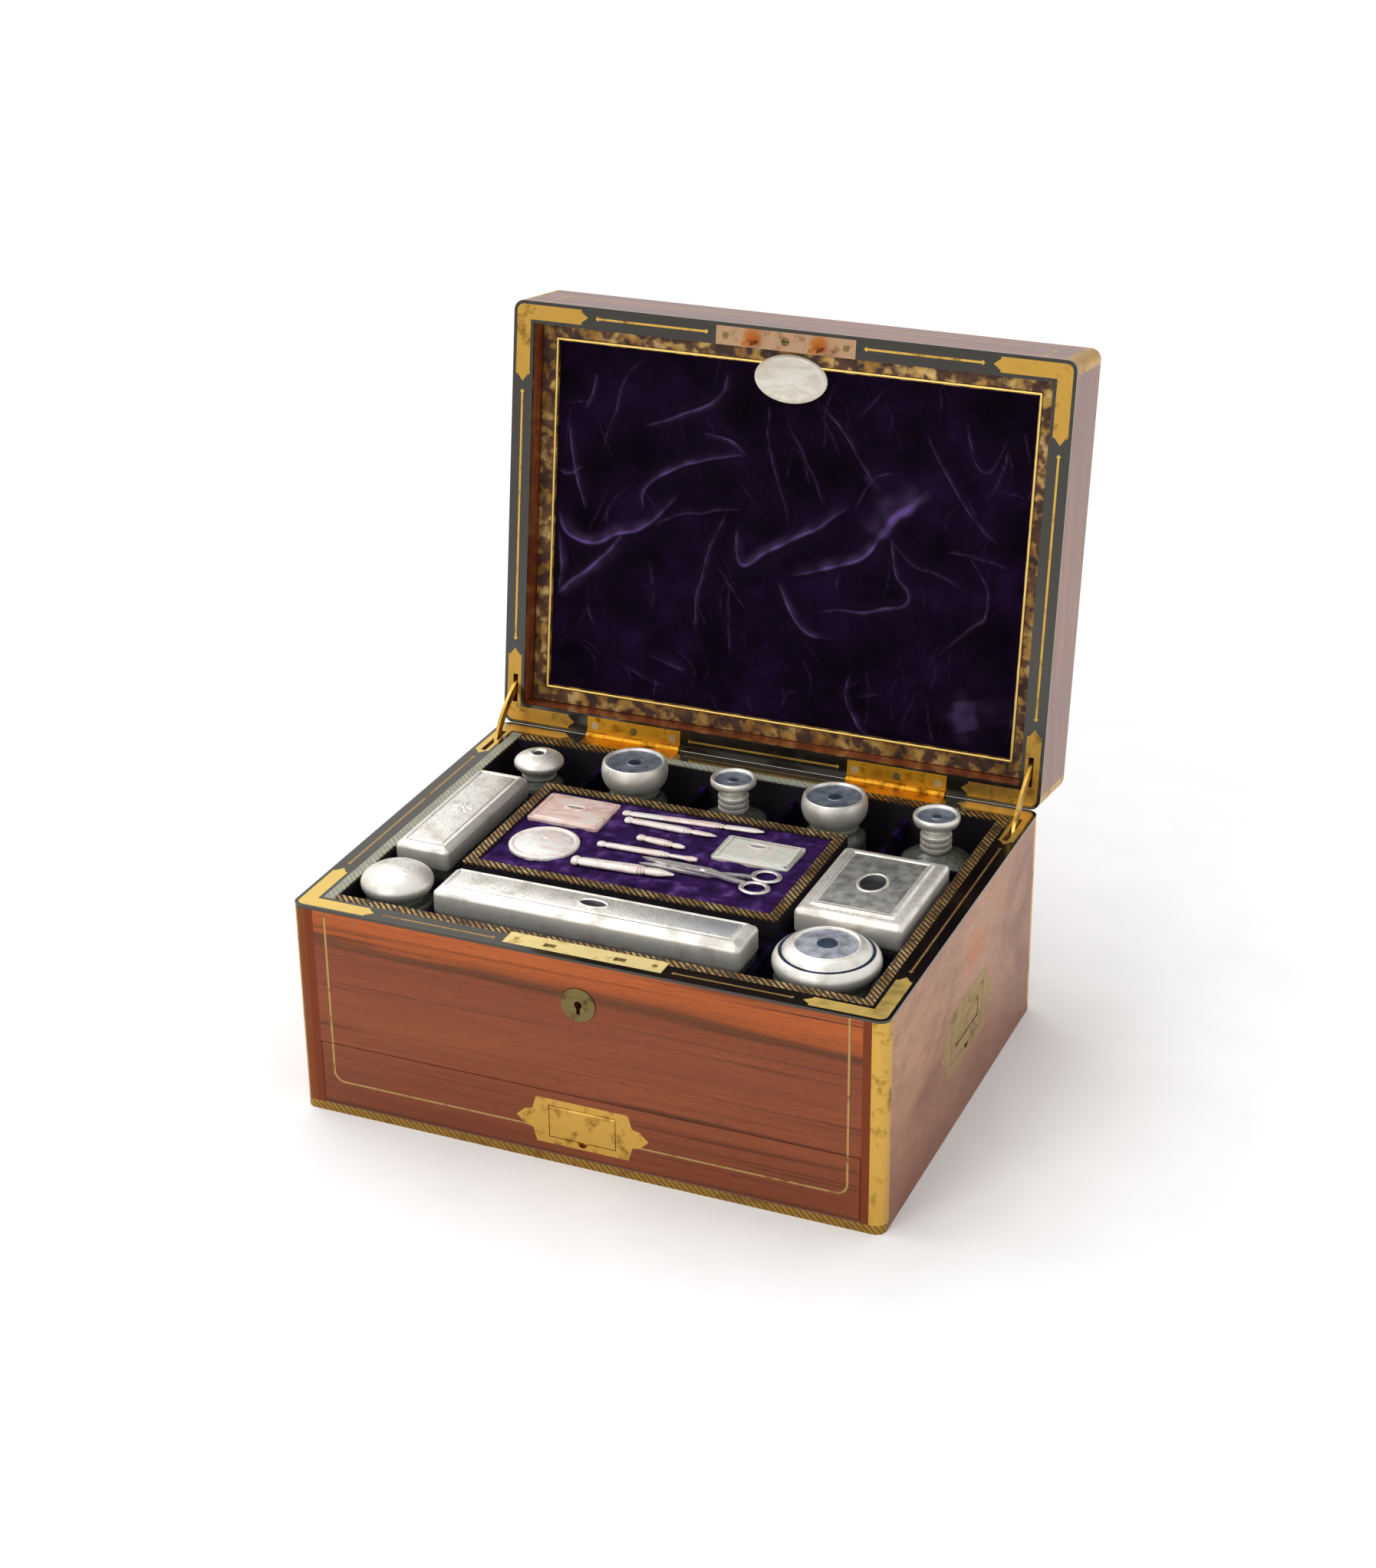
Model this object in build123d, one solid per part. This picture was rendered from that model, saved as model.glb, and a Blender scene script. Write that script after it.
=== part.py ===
from build123d import *
import os
from math import atan2, cos, degrees, hypot, radians, sin, sqrt

# Fitted dressing box, millimetres. Origin at the centre of the case's underside, the front faces -Y,
# +Z is up. The lid stands open at rest.

# ---- case and lid -----------------------------------------------------------------------------------
CASE_W = 330.0
CASE_D = 250.0
CASE_H = 123.0
LID_H = 50.0
LID_OPEN = 98.0          # degrees from closed to the stays' stop
LID_GAP = 0.2            # between the two rims when closed
WALL = 12.5              # veneered boards of case and lid
CORNER_R = 6.0           # rounded upright corners
FLOOR_T = 6.0
DUST_T = 5.0             # board between the drawer and the wells
TOP_T = 8.0              # lid's top board
TOP_EDGE_R = 3.0
RIM_T = 1.5              # ebony banding on both rims
INLAY_T = 1.0            # brass let into the banding and the veneer

# ---- brass bindings and lines -----------------------------------------------------------------------
ANGLE_W = 8.0            # upright corner angles, each leg
EDGE_STRIP_H = 5.0       # strip along the foot of the front and the back
PLATE_IN = 2.0           # corner plate to outer edge
PLATE_W = 8.5
PLATE_ARM = 44.0
PLATE_CORNER_R = 1.0     # smallest corner of a plate
TIP_L = 4.0              # pointed end of a plate's arm
TIP_STEP = 1.2
LINE_W = 1.2
LINE_GAP = 6.0           # line's end to its neighbour
LINE_DIAMOND = 1.6       # side of the diamond that ends a line, in line widths
LINE_IN = 19.5           # front line rectangle, in from the case's sides
LINE_UP = 20.0           # its bottom line above the foot
LINE_R = 6.0
CARTOUCHE_W = 62.0       # blank plate in the lid's top
CARTOUCHE_D = 34.0

# ---- hinges and stays -------------------------------------------------------------------------------
LEAF_W = 59.0
LEAF_D = 11.5
LEAF_IN = 84.0           # leaf's centre in from the box's side
KNUCKLES = 5
KNUCKLE_R = 2.2
KNUCKLE_GAP = 0.2
PIN_R = 1.2
PIN_FIT = 0.05           # radial running clearance of every pin
SCREW_HEAD_R = 2.4
SCREW_R = 1.1
SCREW_L = 9.0
SCREW_BACK = 0.5         # screws' row behind the leaf's middle
STAY_R = 25.0            # lid stay's pivot from the lid hinge, along the rim
STAY_DEEP = 5.0          # pivot inside the lid's rim
STAY_T = 1.8
STAY_W = 5.0
STAY_BOW = 4.6
STAY_IN = 7.0            # stay's middle plane in from the case's side
STAY_SLOT = 3.0
STAY_PIN_IN = 1.5        # pivot pin past the slot's wall
STAY_PIN_END = 0.1       # bore past the pin's end
STAY_STUD_GAP = 0.15     # stud's end to the slot's wall
STAY_ROOM = 2.4          # slot behind the pivot, in arm widths
STAY_SWING = 3           # slot in front of the pivot, in bows of the arm
STAY_STOP = 5.0          # stud below the case's rim when the lid is open

# ---- lock -------------------------------------------------------------------------------------------
LOCK_PLATE_W = 88.0
LOCK_PLATE_D = 11.5
LOCK_PLATE_IN = 4.0
LOCK_CASE_W = 58.0
LOCK_CASE_D = 6.5
LOCK_CASE_H = 34.0
LOCK_WALL = 1.0
LOCK_IN = 5.0            # wood in front of the lock case
HOOK_X = 19.5            # staples from the middle
HOOK_Y_IN = 9.0          # staples in from the front
HOOK_W = 5.0
HOOK_T = 2.0
HOOK_L = 10.0
HOOK_NOTCH = (0.85, 0.4)  # its notch, as shares of a staple's length below the rim
SLOT_FIT = 0.8           # slot round a staple
BOLT_THROW = 2.5
BOLT_FIT = 0.5
BOLT_GAP = 0.3           # bar to the lock case, staple and notch
STRIKE_W = 82.0
STRIKE_D = 10.4
STRIKE_IN = 2.0
ESCUTCHEON_R = 9.5
ESCUTCHEON_T = 2.2
ESCUTCHEON_PROUD = 0.6
ESCUTCHEON_RING = (0.8, 0.55)           # turned groove, as shares of the radius
ESCUTCHEON_DOWN = 25.5   # centre below the rim
KEYHOLE_R = 2.1
KEYHOLE_SLOT = 1.9
KEYHOLE_DROP = 5.5

# ---- drawer -----------------------------------------------------------------------------------------
DRAWER_H = 37.0
DRAWER_GAP = 0.4
DRAWER_SIDE_T = 6.0
DRAWER_SIDE_H = 28.0
DRAWER_FLOOR_T = 3.0
DRAWER_BEHIND = 25.0     # room behind the drawer's box

# ---- flush handles ----------------------------------------------------------------------------------
HANDLE_FIT = 0.4
HANDLE_T = 1.2           # plate let in flush
DRAWER_HANDLE = {"body": 52.0, "tips": 75.0, "height": 27.0, "flap": 38.0, "drop": 19.0, "thick": 2.4,
                 "dish": 4.2}
SIDE_HANDLE = {"body": 62.0, "tips": 86.0, "height": 38.0, "flap": 52.0, "drop": 25.0, "thick": 3.2,
               "dish": 6.4}
SIDE_HANDLE_Y = 4.0
SIDE_HANDLE_Z = 54.0
SIDE_BAR = 7.0           # width of the carrying bail's bars
NOTCH_R = 2.8            # finger notch in a plate's lower edge
BRACKET = ((0.2, 0.42), (0.55, 0.36))   # a bracket's neck and barb: share of its length, of half height
FLAP_PIN = 0.6           # a flap's pin, as a share of a hinge pin's radius
FLAP_PIN_END = 0.7       # how far it enters the plate, as a share of the plate's thickness

# ---- lining, wells and wallet -----------------------------------------------------------------------
LINER_T = 6.0
WELL_BOARD = 3.5
WELL_TOP = 10.0          # boards stop this far below the rim
BACK_WELL_D = 49.0       # row of bottle wells along the back
LEFT_WELL_W = 42.5
RIGHT_WELL_W = 67.0
FRONT_WELL_D = 44.5
WALLET_IN = 13.0         # wallet's face behind the lid's rim
WALLET_T = 4.0
WALLET_GAP = 0.4
WALLET_EDGE = 10.0
VELVET_IN = 1.0
VELVET_T = 2.4
PLAQUE_W = 43.0
PLAQUE_D = 27.0
PLAQUE_T = 2.4
PLAQUE_DOWN = 16.5       # its centre in from the wallet's front edge
MIRROR_W = 236.0
MIRROR_D = 156.0
MIRROR_T = 3.0

# ---- vessels ----------------------------------------------------------------------------------------
SEAT_GAP = 0.1           # vessel to floor, top to glass
GLASS_T = 2.6
GLASS_FLOOR = 4.0
SILVER_T = 1.1
NECK_FIT = 0.3
COLLAR = 9.0             # how far a silver top reaches down over the neck
SHOULDER_IN = 0.8        # glass body inside its top's outline
JAR_FOOT_IN = 3.5        # foot of a bowl or bun top inside its widest
BOWL_SIDE_IN = 0.7       # half way up a bowl, inside its widest
BACK_END_IN = 25.5       # end bottles' middle in from the side linings
# Row along the back: name, middle in from the back lining, radius of the top, its style, height above the rim
BACK_ROW = [
    ("dome_bottle", 24.5, 14.5, "bun", 6.0),
    ("left_jar", 24.5, 19.0, "bowl", 11.0),
    ("middle_bottle", 24.5, 13.0, "spool", 11.0),
    ("right_jar", 24.5, 18.5, "bowl", 11.0),
    ("right_bottle", 28.5, 13.0, "spool", 12.0),
]
# Jars in the front corners: side, in from the side lining and the front lining, radius, style, height, block
FRONT_LEFT_JAR = (-1, 21.5, 24.5, 19.5, "dome", 10.0, 24.0)
FRONT_RIGHT_JAR = (1, 31.5, 31.5, 28.0, "drum", 9.0, 24.0)
# Boxes: gaps to what stands left, right, in front and behind, height above the rim, floor block
LEFT_BOX = (2.5, 8.0, 56.5, 3.0, 6.0, 38.0)
LONG_BOX = (6.0, 4.5, 12.0, 3.5, 8.0, 38.0)
RIGHT_BOX = (4.5, 3.0, 63.5, 71.5, 8.0, 30.0)
BOX_CORNER_R = 3.0
BOTTLE_BODY_R = 19.0     # glass below a spool top
BOTTLE_NECK_R = 7.5
SPOOL_WAIST = 4.0
SPOOL_RIM_T = 4.0
SPOOL_FOOT = 1.6         # foot ring outside the waist
SPOOL_STEP = 1.0         # height of the slopes beside the waist and the rim
SPOOL_BEVEL = 2.0
SLOPE_MAX = 6.0          # a glass shoulder's slope
GLASS_FOOT = 1.5         # bevel round a glass foot
SHOULDER_T = 3.0         # extra glass inside a shoulder
NECK_STEP = 1.0          # neck's bore below the shoulder
BOX_CORNER_LEAST = 0.8
FILLET = 1.5
DOME_BROW = 0.55         # where a dome starts, as a share of its top's height

# ---- tray and its tools -----------------------------------------------------------------------------
TRAY_GAPS = (0.5, 2.0, 13.0, 0.5)     # to the bay's left, right, front and back edges
TRAY_RISE = 0.4          # its edge above the rim
TRAY_EDGE = 6.0
TRAY_FLOOR = 4.0
TRAY_BED = 1.9           # velvet bed below the tray's edge
TOOL_RISE = 1.9          # tools' tops above the bed
TOOL_SINK = 0.9          # how deep the tools lie in the bed
# Places on the velvet bed are shares of its half width and half depth from its middle.
# Slim tools: start right of the patch box in mm, share of y, then share of x and y at the other end, width
SLIM_TOOLS = [
    (4.5, 0.755, 0.544, 0.894, 4.6),
    (9.5, 0.585, 0.284, 0.574, 4.8),
    (24.5, 0.223, 0.154, 0.170, 4.6),
    (7.5, -0.096, 0.296, -0.064, 5.4),
    (3.5, -0.617, 0.249, -0.532, 8.4),
]
# Their outline: share of the length, share of the half width
SLIM_OUTLINE = [(0.0, 0.7), (0.08, 1.0), (0.55, 0.8), (0.6, 0.45), (1.0, 0.3)]
CARD_CASE = (-0.982, -0.473, 0.915)     # left, right and back edges
CARD_GAP = 5.0           # patch box to card case
NOTEBOOK = (0.355, 0.888, 0.660)        # left, right and back edges
NOTEBOOK_GAP = 2.7       # scissors' loop to notebook
PENCIL_R = 1.6
PENCIL_IN = 14.0         # pencil's end in from the notebook's left edge
PENCIL_OUT = 3.0         # its other end past the right edge
PENCIL_SINK = 0.7        # its middle from the notebook's edge, in radii
CARD_CORNER_R = 3.0
PATCH_BOX = (-0.710, -0.319)
PATCH_R = 19.5
PATCH_DOME = 0.8
SCISSORS = (0.414, -0.347)              # pivot
SCISSORS_LOOP = (32.0, 8.6)      # loop's centre from the pivot, along and across
LOOP_R = 8.0
LOOP_BAR = 2.4
BLADE_L = 38.0
BLADE_T = 1.5
BLADE_W = 5.0
BLADE_GAP = 0.15
BLADE_POINT = 0.3        # where a blade starts to narrow, as a share of its length
SHANK_W = (0.45, 0.6)    # half a shank's width: at the pivot in blade widths, at the loop in bars
PIVOT_R = 1.4

# ---- worked out -------------------------------------------------------------------------------------
half_w = CASE_W / 2
half_d = CASE_D / 2
in_w = half_w - WALL
in_d = half_d - WALL
board_top = CASE_H - RIM_T
drawer_top = FLOOR_T + DRAWER_H
well_floor = drawer_top + DUST_T
lined_w = in_w - LINER_T
lined_d = in_d - LINER_T
lid_low = CASE_H + LID_GAP
lid_top = lid_low + LID_H
HINGE_LINE = Axis((0, half_d, CASE_H + LID_GAP / 2), (1, 0, 0))
wallet_face = lid_low + WALLET_IN
tray_top = CASE_H + TRAY_RISE
tray_seat = CASE_H - WELL_TOP
leaf_x = half_w - LEAF_IN
bay_left = LEFT_WELL_W - lined_w
bay_right = lined_w - RIGHT_WELL_W
bay_back = lined_d - BACK_WELL_D
bay_front = FRONT_WELL_D - lined_d
tray_x = (bay_left + TRAY_GAPS[0], bay_right - TRAY_GAPS[1])
tray_y = (bay_front + TRAY_GAPS[2], bay_back - TRAY_GAPS[3])
bed_x = (tray_x[0] + TRAY_EDGE, tray_x[1] - TRAY_EDGE)
bed_y = (tray_y[0] + TRAY_EDGE, tray_y[1] - TRAY_EDGE)
hook_y = -half_d + HOOK_Y_IN
stay_x = half_w - STAY_IN


def on_bed(share_x, share_y):
    """A place on the tray's velvet bed."""
    x = (bed_x[0] + bed_x[1]) / 2 + share_x * (bed_x[1] - bed_x[0]) / 2
    y = (bed_y[0] + bed_y[1]) / 2 + share_y * (bed_y[1] - bed_y[0]) / 2
    return x, y


def round_vessels():
    """Each round vessel: name, centre x, y, radius of its top, style, height above the rim, floor block."""
    pitch = (lined_w - BACK_END_IN) / 2
    row = [(name, (i - 2) * pitch, lined_d - y_in, r, style, rise, 0.0)
           for i, (name, y_in, r, style, rise) in enumerate(BACK_ROW)]
    for name, jar in (("front_left_jar", FRONT_LEFT_JAR), ("front_right_jar", FRONT_RIGHT_JAR)):
        side, x_in, y_in, r, style, rise, block = jar
        row.append((name, side * (lined_w - x_in), y_in - lined_d, r, style, rise, block))
    return row


def box_vessels():
    """Each box vessel: name, x from, to, y from, to, height above the rim, floor block."""
    spans = {
        "left_box": (LEFT_BOX, -lined_w, bay_left, -lined_d, bay_back - WELL_BOARD),
        "long_box": (LONG_BOX, bay_left, bay_right, -lined_d, bay_front),
        "right_box": (RIGHT_BOX, bay_right, lined_w, -lined_d, lined_d),
    }
    return [(name, x0 + box[0], x1 - box[1], y0 + box[2], y1 - box[3], box[4], box[5])
            for name, (box, x0, x1, y0, y1) in spans.items()]


def slab(x, y, z):
    """A board between a low and a high place on each axis."""
    size = [high - low for low, high in (x, y, z)]
    middle = [(low + high) / 2 for low, high in (x, y, z)]
    return Pos(*middle) * Box(*size)


def rounded_block(inset, low, high):
    """The box's outline, drawn in by inset, between two heights."""
    outline = RectangleRounded(CASE_W - 2 * inset, CASE_D - 2 * inset, CORNER_R - inset)
    return Pos(0, 0, low) * extrude(outline, high - low)


def both_sides(shape):
    """A shape and its mirror image on the other side of the middle."""
    return [shape, mirror(shape, Plane.YZ)]


def rod(start, end, radius):
    """A round bar between two points."""
    line = Vector(*end) - Vector(*start)
    plane = Plane(origin=start, z_dir=line)
    return extrude(plane * Circle(radius), line.length)


def keep(name, shapes):
    """Write one node from its separate solids."""
    solids = [solid for shape in shapes for solid in shape.solids()]
    export_step(Compound(children=solids), f"parts/{name}.step")


def opened(shapes):
    """The lid's pieces are drawn closed and swung to where they rest."""
    return [shape.rotate(HINGE_LINE, -LID_OPEN) for shape in shapes]


# ---- brass on the rims ------------------------------------------------------------------------------
def arm_outline(length):
    """One arm of a corner plate along +X from 0, with a pointed end, its middle on the X axis."""
    half = PLATE_W / 2
    stem = length - TIP_L
    points = [(0, half), (stem, half), (stem, half - TIP_STEP), (length, 0), (stem, TIP_STEP - half),
              (stem, -half), (0, -half)]
    return make_face(Polyline(*points, close=True))


def corner_plate(low):
    """L plate in the +X +Y corner of a rim, with its outer corner rounded like the box."""
    x = half_w - PLATE_IN
    y = half_d - PLATE_IN
    half = PLATE_W / 2
    along_x = Pos(x - half, y - half) * Rot(0, 0, 180) * arm_outline(PLATE_ARM - half)
    along_y = Pos(x - half, y - half) * Rot(0, 0, -90) * arm_outline(PLATE_ARM - half)
    corner = Pos(x - half, y - half) * Rectangle(PLATE_W, PLATE_W)
    outline = RectangleRounded(2 * x, 2 * y, max(CORNER_R - PLATE_IN, PLATE_CORNER_R))
    return Pos(0, 0, low) * extrude((along_x + along_y + corner) & outline, INLAY_T)


def corner_plates(low):
    """All four corner plates of a rim."""
    right = [corner_plate(low), mirror(corner_plate(low), Plane.XZ)]
    return [plate for shape in right for plate in both_sides(shape)]


def rim_line(start, end, low):
    """Brass line in a rim with a small diamond at each end."""
    line = Vector(*end) - Vector(*start)
    turn = degrees(atan2(line.Y, line.X))
    diamond = Rot(0, 0, 45) * Rectangle(LINE_W * LINE_DIAMOND, LINE_W * LINE_DIAMOND)
    bar = Pos(line.length / 2, 0) * Rectangle(line.length, LINE_W)
    sketch = bar + diamond + Pos(line.length, 0) * diamond
    return Pos(start[0], start[1], low) * Rot(0, 0, turn) * extrude(sketch, INLAY_T)


def rim_lines(low, plate_half):
    """Lines between the corner plates of a rim, leaving room for the lock plate and the hinges."""
    x_side = half_w - PLATE_IN - PLATE_W / 2
    y_side = half_d - PLATE_IN - PLATE_W / 2
    x_end = half_w - PLATE_IN - PLATE_ARM - LINE_GAP
    y_end = half_d - PLATE_IN - PLATE_ARM - LINE_GAP
    leaf_end = leaf_x - LEAF_W / 2 - LINE_GAP
    side = rim_line((x_side, -y_end), (x_side, y_end), low)
    front = rim_line((plate_half + LINE_GAP, -y_side), (x_end, -y_side), low)
    back = rim_line((-leaf_end, y_side), (leaf_end, y_side), low)
    return both_sides(side) + both_sides(front) + [back]


def corner_angles(low, high):
    """Brass angles round the four upright corners."""
    shell = rounded_block(0, low, high) - rounded_block(INLAY_T, low, high)
    blocks = [slab((half_w - ANGLE_W, half_w), (half_d - ANGLE_W, half_d), (low, high)),
              slab((half_w - ANGLE_W, half_w), (-half_d, ANGLE_W - half_d), (low, high))]
    return [shell & block for shape in blocks for block in both_sides(shape)]


def foot_strips():
    """Brass strips along the foot of the front and the back, between the corner angles."""
    x = half_w - ANGLE_W
    front = slab((-x, x), (-half_d, INLAY_T - half_d), (0, EDGE_STRIP_H))
    return [front, mirror(front, Plane.XZ)]


# ---- hinges -----------------------------------------------------------------------------------------
def along_hinge(x_from, x_to, radius):
    """Round bar on the lid's hinge line."""
    y, z = HINGE_LINE.position.Y, HINGE_LINE.position.Z
    return rod((x_from, y, z), (x_to, y, z), radius)


def knuckle_spans(first):
    """X spans of every second knuckle, from the given one."""
    pitch = LEAF_W / KNUCKLES
    start = leaf_x - LEAF_W / 2
    return [(start + i * pitch, start + (i + 1) * pitch) for i in range(first, KNUCKLES, 2)]


def knuckles(first, bore):
    """The barrel pieces of one leaf."""
    gap = KNUCKLE_GAP / 2
    pieces = [along_hinge(a + gap, b - gap, KNUCKLE_R) - along_hinge(a, b, bore)
              for a, b in knuckle_spans(first)]
    return pieces


def hinge_screws(low, up):
    """Three countersunk screws of one leaf, heads flush with the leaf's open face."""
    pitch = LEAF_W / 2 - SCREW_HEAD_R * 2
    face = low + INLAY_T if up else low
    way = -1 if up else 1
    screws = []
    for place in (-pitch, 0, pitch):
        middle = (leaf_x + place, half_d - LEAF_D / 2 - SCREW_BACK)
        head = Pos(*middle, face + way * INLAY_T / 2) * Cylinder(SCREW_HEAD_R, INLAY_T)
        shank = Pos(*middle, face + way * SCREW_L / 2) * Cylinder(SCREW_R, SCREW_L)
        screws.append(head + shank)
    return screws


def hinge_leaf(low, first, bore, up):
    """One leaf let into a rim with its knuckles, cut round the other leaf's knuckles."""
    plate = slab((leaf_x - LEAF_W / 2, leaf_x + LEAF_W / 2), (half_d - LEAF_D, half_d),
                 (low, low + INLAY_T))
    room = along_hinge(leaf_x - LEAF_W / 2 - 1, leaf_x + LEAF_W / 2 + 1, KNUCKLE_R + KNUCKLE_GAP)
    plate -= room
    y, z = HINGE_LINE.position.Y, HINGE_LINE.position.Z
    gap = KNUCKLE_GAP / 2
    pieces = []
    for a, b in knuckle_spans(first):
        web = slab((a + gap, b - gap), (y - KNUCKLE_R - 1, y), (low, low + INLAY_T))
        pieces.append(web)
    bores = [along_hinge(a, b, bore) for a, b in knuckle_spans(first)]
    leaf = (plate + pieces + knuckles(first, bore)) - bores
    return [leaf - hinge_screws(low, up)]


def hinge_room():
    """Space for the barrels in the boards and bandings, both hinges."""
    start = leaf_x - LEAF_W / 2 - KNUCKLE_GAP
    end = leaf_x + LEAF_W / 2 + KNUCKLE_GAP
    return both_sides(along_hinge(start, end, KNUCKLE_R + KNUCKLE_GAP))


def leaf_room(low, up):
    """Pocket for the leaf and its screws, both hinges."""
    plate = slab((leaf_x - LEAF_W / 2, leaf_x + LEAF_W / 2), (half_d - LEAF_D, half_d),
                 (low, low + INLAY_T))
    rooms = [plate] + hinge_screws(low, up)
    return [room for shape in rooms for room in both_sides(shape)]


# ---- lid stays --------------------------------------------------------------------------------------
def stay_places():
    """The stay's pivot with the lid open, its length and its lean from upright."""
    y0, z0 = HINGE_LINE.position.Y, HINGE_LINE.position.Z
    away = (-STAY_R, STAY_DEEP + LID_GAP / 2)
    turn = radians(LID_OPEN)
    pivot_y = y0 + away[0] * cos(turn) + away[1] * sin(turn)
    pivot_z = z0 - away[0] * sin(turn) + away[1] * cos(turn)
    across = pivot_y - (y0 - STAY_R)
    down = pivot_z - (CASE_H - STAY_STOP)
    return pivot_y, pivot_z, hypot(across, down), degrees(atan2(across, down))


def lid_stay():
    """Bowed brass arm, pivoted in the lid's rim, with a stud at the tail that stops the lid."""
    pivot_y, pivot_z, length, lean = stay_places()
    radius = (length ** 2 / 4 + STAY_BOW ** 2) / (2 * STAY_BOW)
    ring = Circle(radius + STAY_W / 2) - Circle(radius - STAY_W / 2)
    window = Pos(-STAY_BOW, -length / 2) * Rectangle(4 * STAY_W + 2 * STAY_BOW, length)
    arm = Pos(radius - STAY_BOW, -length / 2) * ring & window
    ends = Circle(STAY_W / 2) + Pos(0, -length) * Circle(STAY_W / 2)
    flat = extrude(Plane.YZ * (arm + ends), STAY_T / 2, both=True)
    pin_half = STAY_SLOT / 2 + STAY_PIN_IN
    pin = rod((-pin_half, 0, 0), (pin_half, 0, 0), PIN_R)
    stud_half = STAY_SLOT / 2 - STAY_STUD_GAP
    stud = rod((-stud_half, 0, -length), (stud_half, 0, -length), PIN_R)
    return Pos(stay_x, pivot_y, pivot_z) * Rot(-lean, 0, 0) * (flat + pin + stud)


def stay_rooms_case():
    """Slot and pocket for the stays in the case's sides."""
    _, _, length, _ = stay_places()
    y_hung = half_d - STAY_R
    low = lid_low + STAY_DEEP - length - STAY_W
    room = slab((stay_x - STAY_SLOT / 2, stay_x + STAY_SLOT / 2),
                (y_hung - STAY_BOW * STAY_SWING - STAY_W / 2, y_hung + STAY_W * STAY_ROOM), (low, CASE_H))
    return both_sides(room)


def stay_rooms_lid():
    """Slot and pin bore for the stays in the lid's sides, lid closed."""
    y_pivot = half_d - STAY_R
    z_pivot = lid_low + STAY_DEEP
    room = slab((stay_x - STAY_SLOT / 2, stay_x + STAY_SLOT / 2),
                (y_pivot - STAY_W, y_pivot + STAY_W * STAY_ROOM), (lid_low, z_pivot + STAY_W))
    pin_half = STAY_SLOT / 2 + STAY_PIN_IN + STAY_PIN_END
    bore = rod((stay_x - pin_half, y_pivot, z_pivot), (stay_x + pin_half, y_pivot, z_pivot),
               PIN_R + PIN_FIT)
    return both_sides(room + bore)


# ---- lock -------------------------------------------------------------------------------------------
def lock_case_span():
    """Y span of the lock case."""
    return -half_d + LOCK_IN, -half_d + LOCK_IN + LOCK_CASE_D


def hook_slots(low, high):
    """Two slots that the staples pass through."""
    half_x = HOOK_W / 2 + SLOT_FIT
    half_y = HOOK_T / 2 + SLOT_FIT
    slot = slab((HOOK_X - half_x, HOOK_X + half_x), (hook_y - half_y, hook_y + half_y), (low, high))
    return both_sides(slot)


def keyhole(y_from, y_to):
    """Keyhole: a round hole with a slot below it."""
    z = CASE_H - ESCUTCHEON_DOWN
    hole = rod((0, y_from, z), (0, y_to, z), KEYHOLE_R)
    slot = slab((-KEYHOLE_SLOT / 2, KEYHOLE_SLOT / 2), (y_from, y_to), (z - KEYHOLE_DROP, z))
    return hole + slot


def lock_plate():
    """Flush plate in the front rim."""
    y = -half_d + LOCK_PLATE_IN
    return slab((-LOCK_PLATE_W / 2, LOCK_PLATE_W / 2), (y, y + LOCK_PLATE_D),
                (CASE_H - INLAY_T, CASE_H))


def lock_case():
    """Box lock: plate, case, slots for the staples and the keyhole."""
    y_low, y_high = lock_case_span()
    half = LOCK_CASE_W / 2
    low = CASE_H - LOCK_CASE_H
    outer = slab((-half, half), (y_low, y_high), (low, CASE_H - INLAY_T))
    room = slab((LOCK_WALL - half, half - LOCK_WALL), (y_low + LOCK_WALL, y_high - LOCK_WALL),
                (low + LOCK_WALL, CASE_H - INLAY_T))
    whole = lock_plate() + (outer - room)
    return whole - hook_slots(CASE_H - 2 * INLAY_T, CASE_H) - keyhole(y_low, y_low + LOCK_WALL)


def staple_notch_span():
    """Heights of the notch in a staple, lid closed."""
    return [lid_low - share * HOOK_L for share in HOOK_NOTCH]


def lock_bolt():
    """Sliding bar with two fingers that enter the staples' notches."""
    low, high = staple_notch_span()
    y_low = lock_case_span()[0] + LOCK_WALL + BOLT_GAP
    bar_y = (y_low, hook_y - HOOK_T / 2 - BOLT_GAP)
    bar_z = (low + BOLT_GAP, high - BOLT_GAP)
    finger_l = BOLT_THROW + BOLT_FIT
    ends = [side * HOOK_X - HOOK_W / 2 - BOLT_FIT for side in (-1, 1)]
    bar = slab((ends[0] - finger_l, ends[1]), bar_y, bar_z)
    fingers = [slab((end - finger_l, end), (y_low, hook_y + HOOK_T / 2), bar_z) for end in ends]
    return bar + fingers


def strike_plate():
    """Plate in the lid's rim with two notched staples, lid closed."""
    y = -half_d + STRIKE_IN
    plate = slab((-STRIKE_W / 2, STRIKE_W / 2), (y, y + STRIKE_D), (lid_low, lid_low + INLAY_T))
    low, high = staple_notch_span()
    staples = []
    for side in (-1, 1):
        x = side * HOOK_X
        bar = slab((x - HOOK_W / 2, x + HOOK_W / 2), (hook_y - HOOK_T / 2, hook_y + HOOK_T / 2),
                   (lid_low - HOOK_L, lid_low))
        notch = slab((x - HOOK_W / 2, x), (hook_y - HOOK_T, hook_y + HOOK_T), (low, high))
        staples.append(bar - notch)
    return plate + staples


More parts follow.
